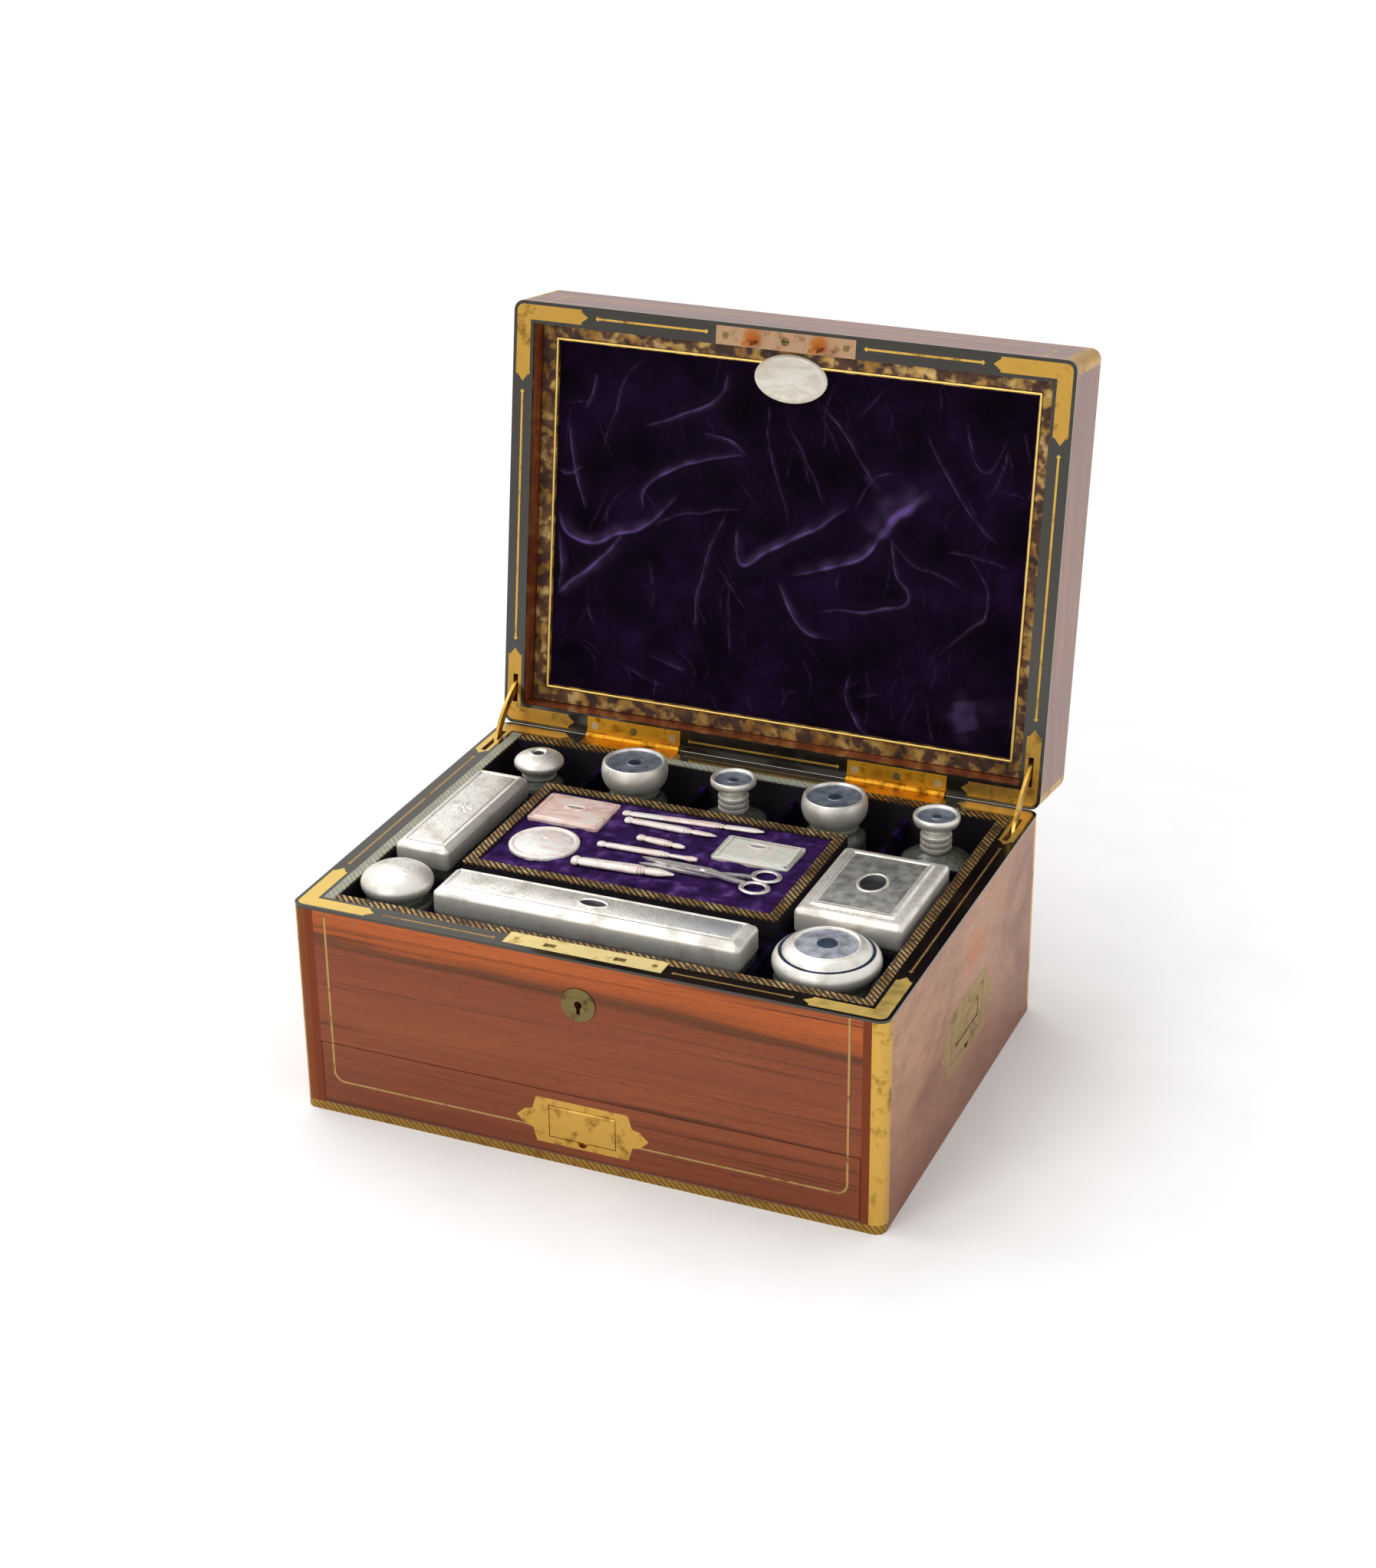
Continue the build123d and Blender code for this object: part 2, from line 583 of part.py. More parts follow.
def escutcheon():
    """Round keyhole plate, a little proud of the front."""
    z = CASE_H - ESCUTCHEON_DOWN
    y = -half_d - ESCUTCHEON_PROUD
    disc = rod((0, y, z), (0, y + ESCUTCHEON_T, z), ESCUTCHEON_R)
    ring = rod((0, y, z), (0, y + ESCUTCHEON_PROUD / 2, z), ESCUTCHEON_R * ESCUTCHEON_RING[0])
    core = rod((0, y, z), (0, y + ESCUTCHEON_PROUD / 2, z), ESCUTCHEON_R * ESCUTCHEON_RING[1])
    return disc - (ring - core) - keyhole(y, y + ESCUTCHEON_T)


# ---- flush handles ----------------------------------------------------------------------------------
def handle_outline(sizes):
    """Plate outline with a pointed bracket at each end, centred on the origin."""
    x = sizes["body"] / 2
    tip = sizes["tips"] / 2
    z = sizes["height"] / 2
    neck, barb = [(x + (tip - x) * along, z * up) for along, up in BRACKET]
    right = [(x, z), neck, barb, (tip, 0), (barb[0], -barb[1]), (neck[0], -neck[1]), (x, -z)]
    left = [(-along, up) for along, up in reversed(right)]
    return make_face(Polyline(left[-1], *right, *left[:-1], close=True))


def flap_places(sizes):
    """Top of the dish and the flap's hinge line: height above the plate's middle, depth behind it."""
    top = sizes["drop"] / 2
    return top, top - HANDLE_FIT - sizes["thick"] / 2, sizes["thick"] / 2


def handle_plate(sizes):
    """Flush plate seen from -Y, its face on y = 0: a dish for the flap, a finger notch, pin bores."""
    face = extrude(Plane.XZ * handle_outline(sizes), -HANDLE_T)
    top, hinge_z, hinge_y = flap_places(sizes)
    half = sizes["flap"] / 2
    low = top - sizes["drop"]
    rim = HANDLE_T
    back = slab((-half - rim, half + rim), (0, sizes["dish"] + rim), (low - rim, top + rim))
    dish = slab((-half, half), (0, sizes["dish"]), (low, top))
    notch = rod((0, 0, low), (0, sizes["dish"], low), NOTCH_R)
    notch_back = rod((0, 0, low), (0, sizes["dish"] + rim, low), NOTCH_R + rim)
    bore = rod((-half - rim, hinge_y, hinge_z), (half + rim, hinge_y, hinge_z), PIN_R * FLAP_PIN + PIN_FIT)
    return (face + back + notch_back) - dish - notch - bore


def handle_room(sizes):
    """Pocket in the wood for the plate and its dish."""
    face = extrude(Plane.XZ * handle_outline(sizes), -HANDLE_T)
    top = flap_places(sizes)[0]
    half = sizes["flap"] / 2 + HANDLE_T
    low = top - sizes["drop"]
    depth = sizes["dish"] + HANDLE_T
    back = slab((-half, half), (0, depth), (low - HANDLE_T, top + HANDLE_T))
    notch_back = rod((0, 0, low), (0, depth, low), NOTCH_R + HANDLE_T)
    return face + back + notch_back


def handle_flap(sizes):
    """Flap that lies flush in the dish and swings out and up on two pin ends."""
    top, hinge_z, hinge_y = flap_places(sizes)
    half = sizes["flap"] / 2 - HANDLE_FIT
    low = top - sizes["drop"] + HANDLE_FIT
    board = slab((-half, half), (0, sizes["thick"]), (low, hinge_z))
    roll = rod((-half, hinge_y, hinge_z), (half, hinge_y, hinge_z), sizes["thick"] / 2)
    pin_end = half + HANDLE_FIT + HANDLE_T * FLAP_PIN_END
    pin = rod((-pin_end, hinge_y, hinge_z), (pin_end, hinge_y, hinge_z), PIN_R * FLAP_PIN)
    return board + roll + pin


def bail_flap(sizes):
    """Carrying handle: the same flap with a finger opening through it."""
    top, hinge_z, _ = flap_places(sizes)
    half = sizes["flap"] / 2 - HANDLE_FIT - SIDE_BAR
    low = top - sizes["drop"] + HANDLE_FIT + SIDE_BAR
    opening = slab((-half, half), (0, sizes["thick"]), (low, hinge_z - sizes["thick"]))
    return handle_flap(sizes) - opening


def on_drawer(shape):
    """Place a handle piece on the drawer's front."""
    return Pos(0, -half_d, FLOOR_T + DRAWER_H / 2) * shape


def on_right_side(shape):
    """Place a handle piece on the case's right side."""
    return Pos(half_w, SIDE_HANDLE_Y, SIDE_HANDLE_Z) * Rot(0, 0, 90) * shape


# ---- case -------------------------------------------------------------------------------------------
def front_line():
    """Closed line rectangle on the front, from the foot line up past the rim, with round corners."""
    x = half_w - LINE_IN
    low = LINE_UP
    high = CASE_H + 2 * LINE_R
    middle = (low + high) / 2
    outer = RectangleRounded(2 * x + LINE_W, high - low + LINE_W, LINE_R + LINE_W / 2)
    inner = RectangleRounded(2 * x - LINE_W, high - low - LINE_W, LINE_R - LINE_W / 2)
    ring = Plane.XZ * (Pos(0, middle) * (outer - inner))
    return Pos(0, -half_d, 0) * extrude(ring, -INLAY_T)


def build_case(plates, lines, angles):
    """The case's boards, bandings and everything fixed to them."""
    outline = rounded_block(0, 0, CASE_H)
    side = slab((in_w, half_w), (-half_d, half_d), (0, board_top)) & outline
    back = slab((-in_w, in_w), (in_d, half_d), (0, board_top))
    front = slab((-in_w, in_w), (-half_d, -in_d), (drawer_top, board_top))
    floor = slab((-in_w, in_w), (-half_d, in_d), (0, FLOOR_T))
    dust = slab((-in_w, in_w), (-in_d, in_d), (drawer_top, well_floor))
    side_pocket = on_right_side(handle_room(SIDE_HANDLE))
    brass = angles + foot_strips()
    y_low, y_high = lock_case_span()
    lock_pocket = slab((-LOCK_CASE_W / 2, LOCK_CASE_W / 2), (y_low, y_high + 1),
                       (CASE_H - LOCK_CASE_H, CASE_H))
    z = CASE_H - ESCUTCHEON_DOWN
    disc_pocket = rod((0, -half_d, z), (0, ESCUTCHEON_T - ESCUTCHEON_PROUD - half_d, z), ESCUTCHEON_R)
    panel_line = front_line() & slab((-half_w, half_w), (-half_d, 0), (drawer_top, board_top))
    front = front - lock_pocket - disc_pocket - keyhole(-half_d, y_low) - panel_line
    leaves = leaf_room(CASE_H - INLAY_T, True)
    sides = [shape - brass - stay_rooms_case() for shape in both_sides(side - side_pocket)]
    rim = rounded_block(0, board_top, CASE_H) - slab((-in_w, in_w), (-in_d, in_d), (0, CASE_H))
    rim = rim - plates - lines - leaves - hinge_room() - stay_rooms_case() - lock_pocket - lock_plate()
    keep("case_front_panel", [front])
    keep("case_side_panels", sides)
    keep("case_back_panel", [back - brass - hinge_room() - leaves])
    keep("case_floor_board", [floor - brass])
    keep("dust_board", [dust])
    keep("case_rim_banding", [rim])
    keep("case_brass_lines", lines + [panel_line])
    keep("case_brass_bindings", [plate - stay_rooms_case() for plate in plates] + brass)
    leaf = hinge_leaf(CASE_H - INLAY_T, 0, PIN_R + PIN_FIT, True)
    screws = hinge_screws(CASE_H - INLAY_T, True)
    keep("case_hinge_leaves", [piece for shape in leaf + screws for piece in both_sides(shape)])
    keep("lock_case", [lock_case()])
    keep("lock_bolt", [lock_bolt()])
    keep("keyhole_escutcheon", [escutcheon()])
    keep("side_handle_plates", both_sides(on_right_side(handle_plate(SIDE_HANDLE))))
    bail = on_right_side(bail_flap(SIDE_HANDLE))
    keep("right_side_handle", [bail])
    keep("left_side_handle", [mirror(bail, Plane.YZ)])


def build_linings():
    """Leathered liner boards round the inside, and the velvet-covered well boards and floors."""
    side = slab((lined_w, in_w), (-in_d, in_d), (well_floor, CASE_H))
    end = slab((-lined_w, lined_w), (lined_d, in_d), (well_floor, CASE_H))
    front = mirror(end, Plane.XZ) - lock_plate()
    keep("liner_boards", both_sides(side) + [end, front])

    left, right, back, front_y = bay_left, bay_right, bay_back, bay_front
    height = (well_floor, tray_seat)
    board = WELL_BOARD
    boards = [
        slab((-lined_w, lined_w), (back - board, back), height),
        slab((left, left + board), (-lined_d, back - board), height),
        slab((right - board, right), (-lined_d, back - board), height),
        slab((left + board, right - board), (front_y, front_y + board), height),
    ]
    *row, left_jar, right_jar = round_vessels()
    for low, high in zip(row, row[1:]):
        x = (low[1] + low[3] + high[1] - high[3]) / 2
        boards.append(slab((x - board / 2, x + board / 2), (back, lined_d), height))
    left_box, long_box, right_box = box_vessels()
    y_left = (left_box[3] + left_jar[2] + left_jar[3] + board) / 2
    y_right = (right_box[3] + right_jar[2] + right_jar[3] + board) / 2
    boards.append(slab((-lined_w, left), (y_left - board, y_left), height))
    boards.append(slab((right, lined_w), (y_right - board, y_right), height))
    y_behind = right_box[4] + board
    boards.append(slab((right, lined_w), (y_behind, y_behind + board), height))
    floors = [
        slab((-lined_w, left), (y_left, back - board), (well_floor, well_floor + left_box[6])),
        slab((left + board, right - board), (-lined_d, front_y), (well_floor, well_floor + long_box[6])),
        slab((right, lined_w), (y_right, y_behind), (well_floor, well_floor + right_box[6])),
        slab((-lined_w, left), (-lined_d, y_left - board), (well_floor, well_floor + left_jar[6])),
        slab((right, lined_w), (-lined_d, y_right - board), (well_floor, well_floor + right_jar[6])),
    ]
    ledge = slab((left + board, right - board), (front_y + board, tray_y[0] + TRAY_EDGE),
                 (tray_seat - board, tray_seat))
    keep("well_boards", boards + floors + [ledge])


def build_drawer():
    """Drawer front with its flush handle and lines, and the box behind it."""
    gap = DRAWER_GAP
    x = in_w - gap
    front = slab((-x, x), (-half_d, -in_d), (FLOOR_T + gap, drawer_top - gap))
    pocket = on_drawer(handle_room(DRAWER_HANDLE))
    line = front_line() & front
    keep("drawer_brass_lines", [line - pocket])
    keep("drawer_front", [front - pocket - line])
    low = FLOOR_T + gap
    y_back = in_d - DRAWER_BEHIND
    side = slab((x - DRAWER_SIDE_T, x), (-in_d, y_back), (low, low + DRAWER_SIDE_H))
    end = slab((DRAWER_SIDE_T - x, x - DRAWER_SIDE_T), (y_back - DRAWER_SIDE_T, y_back),
               (low, low + DRAWER_SIDE_H))
    floor = slab((DRAWER_SIDE_T - x, x - DRAWER_SIDE_T), (-in_d, y_back - DRAWER_SIDE_T),
                 (low, low + DRAWER_FLOOR_T))
    keep("drawer_box", both_sides(side) + [end, floor])
    keep("drawer_handle_plate", [on_drawer(handle_plate(DRAWER_HANDLE))])
    keep("drawer_handle", [on_drawer(handle_flap(DRAWER_HANDLE))])


# ---- lid --------------------------------------------------------------------------------------------
def lid_face_line():
    """Line rectangle on the closed lid's front, open towards the rim, and one on its top."""
    x = half_w - LINE_IN
    low = lid_low - 2 * LINE_R
    high = lid_top - LINE_IN
    middle = (low + high) / 2
    outer = RectangleRounded(2 * x + LINE_W, high - low + LINE_W, LINE_R + LINE_W / 2)
    inner = RectangleRounded(2 * x - LINE_W, high - low - LINE_W, LINE_R - LINE_W / 2)
    ring = Plane.XZ * (Pos(0, middle) * (outer - inner))
    return Pos(0, -half_d, 0) * extrude(ring, -INLAY_T)


def lid_top_line():
    """Line rectangle let into the lid's top."""
    w = CASE_W - 2 * LINE_IN
    d = CASE_D - 2 * LINE_IN
    outer = RectangleRounded(w + LINE_W, d + LINE_W, LINE_R + LINE_W / 2)
    inner = RectangleRounded(w - LINE_W, d - LINE_W, LINE_R - LINE_W / 2)
    return Pos(0, 0, lid_top - INLAY_T) * extrude(outer - inner, INLAY_T)


def cartouche():
    """Blank plate in the middle of the lid's top."""
    outline = RectangleRounded(CARTOUCHE_W, CARTOUCHE_D, CARTOUCHE_D / 4)
    return Pos(0, 0, lid_top - INLAY_T) * extrude(outline, INLAY_T)


def build_lid():
    """The lid's boards, banding and brass, drawn closed and then swung open."""
    low = lid_low + RIM_T
    high = lid_top - TOP_T
    outline = rounded_block(0, lid_low, lid_top)
    side = slab((in_w, half_w), (-half_d, half_d), (low, high)) & outline
    back = slab((-in_w, in_w), (in_d, half_d), (low, high))
    front = slab((-in_w, in_w), (-half_d, -in_d), (low, high))
    top = rounded_block(0, high, lid_top)
    top = fillet(top.edges().group_by(Axis.Z)[-1], TOP_EDGE_R)
    angles = corner_angles(lid_low + RIM_T, lid_top - TOP_EDGE_R)
    plates = corner_plates(lid_low)
    lines = rim_lines(lid_low, STRIKE_W / 2)
    wall_line = lid_face_line() & slab((-half_w, half_w), (-half_d, 0), (low, high))
    leaves = leaf_room(lid_low, False)
    rim = rounded_block(0, lid_low, low) - slab((-in_w, in_w), (-in_d, in_d), (lid_low, low))
    strike = strike_plate()
    rim = rim - plates - lines - leaves - hinge_room() - stay_rooms_lid() - strike
    sides = [shape - angles - stay_rooms_lid() for shape in both_sides(side)]
    walls = sides + [back - leaves - hinge_room(), front - wall_line]
    top = top - angles - lid_top_line() - cartouche()
    keep("lid_top_board", opened([top]))
    keep("lid_walls", opened(walls))
    keep("lid_rim_banding", opened([rim]))
    keep("lid_brass_lines", opened(lines + [wall_line, lid_top_line()]))
    bound = [plate - stay_rooms_lid() for plate in plates] + angles + [cartouche()]
    keep("lid_brass_bindings", opened(bound))
    leaf = hinge_leaf(lid_low, 1, PIN_R, False)
    pin = along_hinge(leaf_x - LEAF_W / 2, leaf_x + LEAF_W / 2, PIN_R)
    fixings = leaf + hinge_screws(lid_low, False) + [pin]
    keep("lid_hinge_leaves", opened([piece for shape in fixings for piece in both_sides(shape)]))
    keep("strike_plate", opened([strike]))
    mirror_z = (high - MIRROR_T, high)
    glass = slab((-MIRROR_W / 2, MIRROR_W / 2), (-MIRROR_D / 2, MIRROR_D / 2), mirror_z)
    keep("lid_mirror", opened([glass]))
    stay = lid_stay()
    keep("right_lid_stay", [stay])
    keep("left_lid_stay", [mirror(stay, Plane.YZ)])


def build_wallet():
    """Letter wallet: a leathered frame with velvet stretched in it, hung at the lid's hinge side."""
    x = in_w - WALLET_GAP
    y = in_d - WALLET_GAP
    z = (wallet_face, wallet_face + WALLET_T)
    window = slab((WALLET_EDGE - x, x - WALLET_EDGE), (WALLET_EDGE - y, y - WALLET_EDGE), z)
    frame = slab((-x, x), (-y, y), z) - window
    velvet_z = (wallet_face + VELVET_IN, wallet_face + VELVET_IN + VELVET_T)
    velvet = slab((WALLET_EDGE - x, x - WALLET_EDGE), (WALLET_EDGE - y, y - WALLET_EDGE), velvet_z)
    oval = Pos(0, PLAQUE_DOWN - y, wallet_face - PLAQUE_T) * extrude(
        Ellipse(PLAQUE_W / 2, PLAQUE_D / 2), PLAQUE_T)
    rim_edge = fillet(oval.edges().group_by(Axis.Z)[0], PLAQUE_T / 3)
    keep("wallet_frame", opened([frame]))
    keep("wallet_velvet", opened([velvet]))
    keep("oval_plaque", opened([rim_edge]))


# ---- vessels ----------------------------------------------------------------------------------------
def turned(points, arcs=()):
    """A solid turned from radius-height points; arcs gives the bulge point after a point's index."""
    edges = []
    for i, start in enumerate(points):
        end = points[(i + 1) % len(points)]
        bulge = dict(arcs).get(i)
        a, b = (start[0], 0, start[1]), (end[0], 0, end[1])
        edges.append(ThreePointArc(a, (bulge[0], 0, bulge[1]), b) if bulge else Line(a, b))
    return revolve(make_face(edges), Axis.Z)


def drum_top(r, low, high):
    """Flat-topped silver top with a bulged side."""
    inner = r - 2 * SILVER_T
    points = [(inner, low), (r - SILVER_T, low), (r - SILVER_T, high - FILLET), (r - 2 * FILLET, high),
              (0, high), (0, high - SILVER_T), (inner, high - 2 * FILLET - SILVER_T)]
    middle = (low + high - FILLET) / 2
    return turned(points, [(1, (r, middle))])


def crown(r, brow, high):
    """Point half way out on the round crown from (0, high) down to (r, brow)."""
    rise = high - brow
    radius = (r ** 2 + rise ** 2) / (2 * rise)
    return r / 2, high - radius + sqrt(radius ** 2 - r ** 2 / 4)


def dome_top(r, low, high):
    """Silver top that rises in a low dome over a short upright collar."""
    inner = r - 2 * SILVER_T
    brow = low + (high - low) * DOME_BROW
    points = [(inner, low), (r - SILVER_T, low), (r, brow), (0, high), (0, high - SILVER_T),
              (inner, brow)]
    return turned(points, [(2, crown(r, brow, high)), (4, crown(inner, brow, high - SILVER_T))])


def bowl_top(r, low, high):
    """Silver top like a bowl: a drawn-in foot, sides that swell up to the rim, a flat top."""
    foot = r - JAR_FOOT_IN
    inner = foot - SILVER_T
    brow = high - FILLET
    points = [(inner, low), (foot, low), (r, brow), (r - FILLET, high), (0, high), (0, brow - SILVER_T),
              (inner, brow - SILVER_T)]
    middle = (r - BOWL_SIDE_IN, (low + brow) / 2)
    return turned(points, [(1, middle)])


def bun_top(r, low, high):
    """Silver top like a flattened ball with a flat crown, on a drawn-in foot."""
    foot = r - JAR_FOOT_IN
    inner = foot - SILVER_T
    brow = low + FILLET
    points = [(inner, low), (foot, low), (foot, brow), (foot, high), (0, high), (0, high - 2 * SILVER_T),
              (inner, high - 2 * SILVER_T)]
    return turned(points, [(2, (r, (brow + high) / 2))])


def spool_top(r, low, high):
    """Silver bottle top: a wide disc over a ringed waist, bored for the neck."""
    waist = r - SPOOL_WAIST
    inner = BOTTLE_NECK_R + NECK_FIT
    under = high - SPOOL_RIM_T
    mid = (low + under) / 2
    foot = waist + SPOOL_FOOT
    points = [(inner, low), (foot, low), (foot, mid - SPOOL_STEP), (waist, mid),
              (waist, under - SPOOL_STEP), (r, under + SPOOL_STEP), (r, high - SPOOL_STEP),
              (r - SPOOL_BEVEL, high), (0, high), (0, under), (inner, under)]
    return turned(points)


def round_glass(r, floor, shoulder, neck_top, neck_r):
    """Hollow glass body with a shoulder and a neck."""
    wall = neck_r - GLASS_T
    inside = r - GLASS_T
    slope = min(r - neck_r, SLOPE_MAX)
    bottom = floor + GLASS_FLOOR
    points = [(0, floor), (r - GLASS_FOOT, floor), (r, floor + GLASS_FOOT), (r, shoulder - slope),
              (neck_r, shoulder), (neck_r, neck_top), (wall, neck_top), (wall, shoulder - NECK_STEP),
              (inside, shoulder - slope - SHOULDER_T), (inside, bottom), (0, bottom)]
    return turned(points)


def build_round_vessels():
    """Jars and bottles with their silver tops."""
    tops = {"dome": dome_top, "drum": drum_top, "spool": spool_top, "bowl": bowl_top, "bun": bun_top}
    for name, x, y, r, style, rise, block in round_vessels():
        floor = well_floor + block + SEAT_GAP
        high = CASE_H + rise
        low = CASE_H - COLLAR
        if style == "spool":
            body_r, neck_r = BOTTLE_BODY_R, BOTTLE_NECK_R
            neck_top = high - SPOOL_RIM_T - SEAT_GAP
        elif style in ("bowl", "bun"):
            body_r, neck_r = r - SHOULDER_IN, r - JAR_FOOT_IN - SILVER_T - NECK_FIT
            neck_top = CASE_H - SEAT_GAP
        else:
            body_r, neck_r = r - SHOULDER_IN, r - 2 * SILVER_T - NECK_FIT
            brow = low + (high - low) * DOME_BROW if style == "dome" else CASE_H
            neck_top = brow - SEAT_GAP
        glass = round_glass(body_r, floor, low - SEAT_GAP, neck_top, neck_r)
        keep(f"{name}_glass", [Pos(x, y, 0) * glass])
        keep(f"{name}_top", [Pos(x, y, 0) * tops[style](r, low, high)])


def box_outline(vessel, inset):
    """Rounded rectangle of a box vessel, drawn in by inset."""
    _, x0, x1, y0, y1, _, _ = vessel
    corner = max(BOX_CORNER_R - inset, BOX_CORNER_LEAST)
    shape = RectangleRounded(x1 - x0 - 2 * inset, y1 - y0 - 2 * inset, corner)
    return Pos((x0 + x1) / 2, (y0 + y1) / 2) * shape


def upright(outline, low, high):
    """A flat outline carried from one height to another."""
    return Pos(0, 0, low) * extrude(outline, high - low)


def build_box_vessels():
    """Rectangular glass boxes with lift-off silver tops."""
    for vessel in box_vessels():
        name, rise, block = vessel[0], vessel[5], vessel[6]
        floor = well_floor + block + SEAT_GAP
        low = CASE_H - COLLAR
        high = CASE_H + rise
        neck_in = SILVER_T + NECK_FIT
        neck_top = CASE_H - SEAT_GAP
        body = upright(box_outline(vessel, SHOULDER_IN), floor, low - SEAT_GAP)
        neck = upright(box_outline(vessel, neck_in), low - SEAT_GAP, neck_top)
        inside = upright(box_outline(vessel, neck_in + GLASS_T), floor + GLASS_FLOOR, neck_top)
        keep(f"{name}_glass", [body + neck - inside])
        shell = upright(box_outline(vessel, 0), low, high)
        shell = chamfer(shell.edges().group_by(Axis.Z)[-1], FILLET)
        room = upright(box_outline(vessel, SILVER_T), low, high - FILLET - SILVER_T)
        keep(f"{name}_top", [shell - room])


# ---- tray -------------------------------------------------------------------------------------------
def tool_heights():
    """Underside and top of what lies on the tray."""
    bed = tray_top - TRAY_BED
    return bed - TOOL_SINK, bed + TOOL_RISE


def slim_tool(start, share_y, end_x, end_y, width):
    """A slim handled tool lying flat: a rounded handle that thins to a working end."""
    low, high = tool_heights()
    x0, y0 = on_bed(PATCH_BOX[0], share_y)
    x0 += PATCH_R + start
    x1, y1 = on_bed(end_x, end_y)
    length = hypot(x1 - x0, y1 - y0)
    turn = degrees(atan2(y1 - y0, x1 - x0))
    half = width / 2
    points = [(length * along, half * out) for along, out in SLIM_OUTLINE]
    under = [(x, -y) for x, y in reversed(points)]
    outline = make_face(Polyline(*points, *under, close=True))
    solid = extrude(outline, high - low)
    return Pos(x0, y0, low) * Rot(0, 0, turn) * solid


def notebook():
    """Ivory notebook with a pencil in a loop at its back edge."""
    low, high = tool_heights()
    x0, y1 = on_bed(NOTEBOOK[0], NOTEBOOK[2])
    x1 = on_bed(NOTEBOOK[1], 0)[0]
    y0 = on_bed(*SCISSORS)[1] + SCISSORS_LOOP[1] + LOOP_R + NOTEBOOK_GAP
    book = slab((x0, x1), (y0, y1), (low, high))
    z = (low + high) / 2
    y = y1 + PENCIL_R * PENCIL_SINK
    pencil = rod((x0 + PENCIL_IN, y, z), (x1 + PENCIL_OUT, y, z), PENCIL_R)
    return book + pencil


def card_case():
    """Pearl card case with softened corners."""
    low, high = tool_heights()
    x0, y1 = on_bed(CARD_CASE[0], CARD_CASE[2])
    x1 = on_bed(CARD_CASE[1], 0)[0]
    y0 = on_bed(*PATCH_BOX)[1] + PATCH_R + CARD_GAP
    outline = RectangleRounded(x1 - x0, y1 - y0, CARD_CORNER_R)
    return Pos((x0 + x1) / 2, (y0 + y1) / 2, low) * extrude(outline, high - low)


def patch_box():
    """Round shallow patch box with a slightly domed lid."""
    low, high = tool_heights()
    brow = high - PATCH_DOME
    points = [(0, low), (PATCH_R, low), (PATCH_R, brow), (0, high + PATCH_DOME)]
    return Pos(*on_bed(*PATCH_BOX), 0) * turned(points, [(2, crown(PATCH_R, brow, high + PATCH_DOME))])


def scissors_half(low, side):
    """One half of the scissors: blade towards -X, loop towards +X, pivot at the origin."""
    along, across = SCISSORS_LOOP
    half = BLADE_W / 2
    narrows = -BLADE_L * BLADE_POINT
    blade = make_face(Polyline((-BLADE_L, 0), (narrows, half), (half, half), (half, -half),
                               (narrows, -half), close=True))
    loop_in = along - LOOP_R + LOOP_BAR / 2
    root, end = BLADE_W * SHANK_W[0], LOOP_BAR * SHANK_W[1]
    shank = make_face(Polyline((0, root), (loop_in, across + end), (loop_in, across - end), (0, -root),
                               close=True))
    loop = Pos(along, across) * (Circle(LOOP_R) - Circle(LOOP_R - LOOP_BAR))
    flat = extrude(blade + shank + loop, BLADE_T)
    turned_over = flat if side > 0 else mirror(flat, Plane.XZ)
    return Pos(*on_bed(*SCISSORS), low) * turned_over


def build_tray():
    """Lift-out tray with its velvet bed, pearl tools and scissors."""
    bed_top = tray_top - TRAY_BED
    body = slab(tray_x, tray_y, (tray_seat + SEAT_GAP, tray_top))
    room = slab(bed_x, bed_y, (tray_seat + TRAY_FLOOR, tray_top))
    low = tool_heights()[0]
    upper_low = bed_top + TOOL_RISE + BLADE_GAP
    fixed = scissors_half(bed_top + TOOL_RISE - BLADE_T, 1)
    moving = scissors_half(upper_low, -1)
    pin_top = upper_low + BLADE_T + BLADE_GAP
    pivot = on_bed(*SCISSORS)
    pin = rod((*pivot, low), (*pivot, pin_top), PIVOT_R)
    moving -= rod((*pivot, low), (*pivot, pin_top + 1), PIVOT_R + PIN_FIT)
    tools = [slim_tool(*tool) for tool in SLIM_TOOLS]
    flat_cases = [card_case(), notebook(), patch_box()]
    bed = slab(bed_x, bed_y, (tray_seat + TRAY_FLOOR, bed_top)) - tools - flat_cases - pin
    keep("tray_frame", [body - room])
    keep("tray_velvet", [bed])
    keep("manicure_tools", tools + flat_cases)
    keep("scissors_lower_half", [fixed + pin])
    keep("scissors_upper_half", [moving])


def main():
    """Build every node."""
    os.makedirs("parts", exist_ok=True)
    build_case(corner_plates(CASE_H - INLAY_T), rim_lines(CASE_H - INLAY_T, LOCK_PLATE_W / 2),
               corner_angles(0, board_top))
    build_linings()
    build_drawer()
    build_lid()
    build_wallet()
    build_round_vessels()
    build_box_vessels()
    build_tray()
    pivot_y, pivot_z, length, lean = stay_places()
    print(f"stay pivot y {pivot_y:.4f} z {pivot_z:.4f}, length {length:.3f}, lean {lean:.4f}")
    print(f"stay turn per lid turn {(LID_OPEN - lean) / LID_OPEN:.6f}")


main()
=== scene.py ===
"""Antique fitted dressing box: finishes and modelled pieces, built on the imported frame."""
import math
import random

import bmesh
import bpy
import numpy
from mathutils import Matrix, Vector, noise


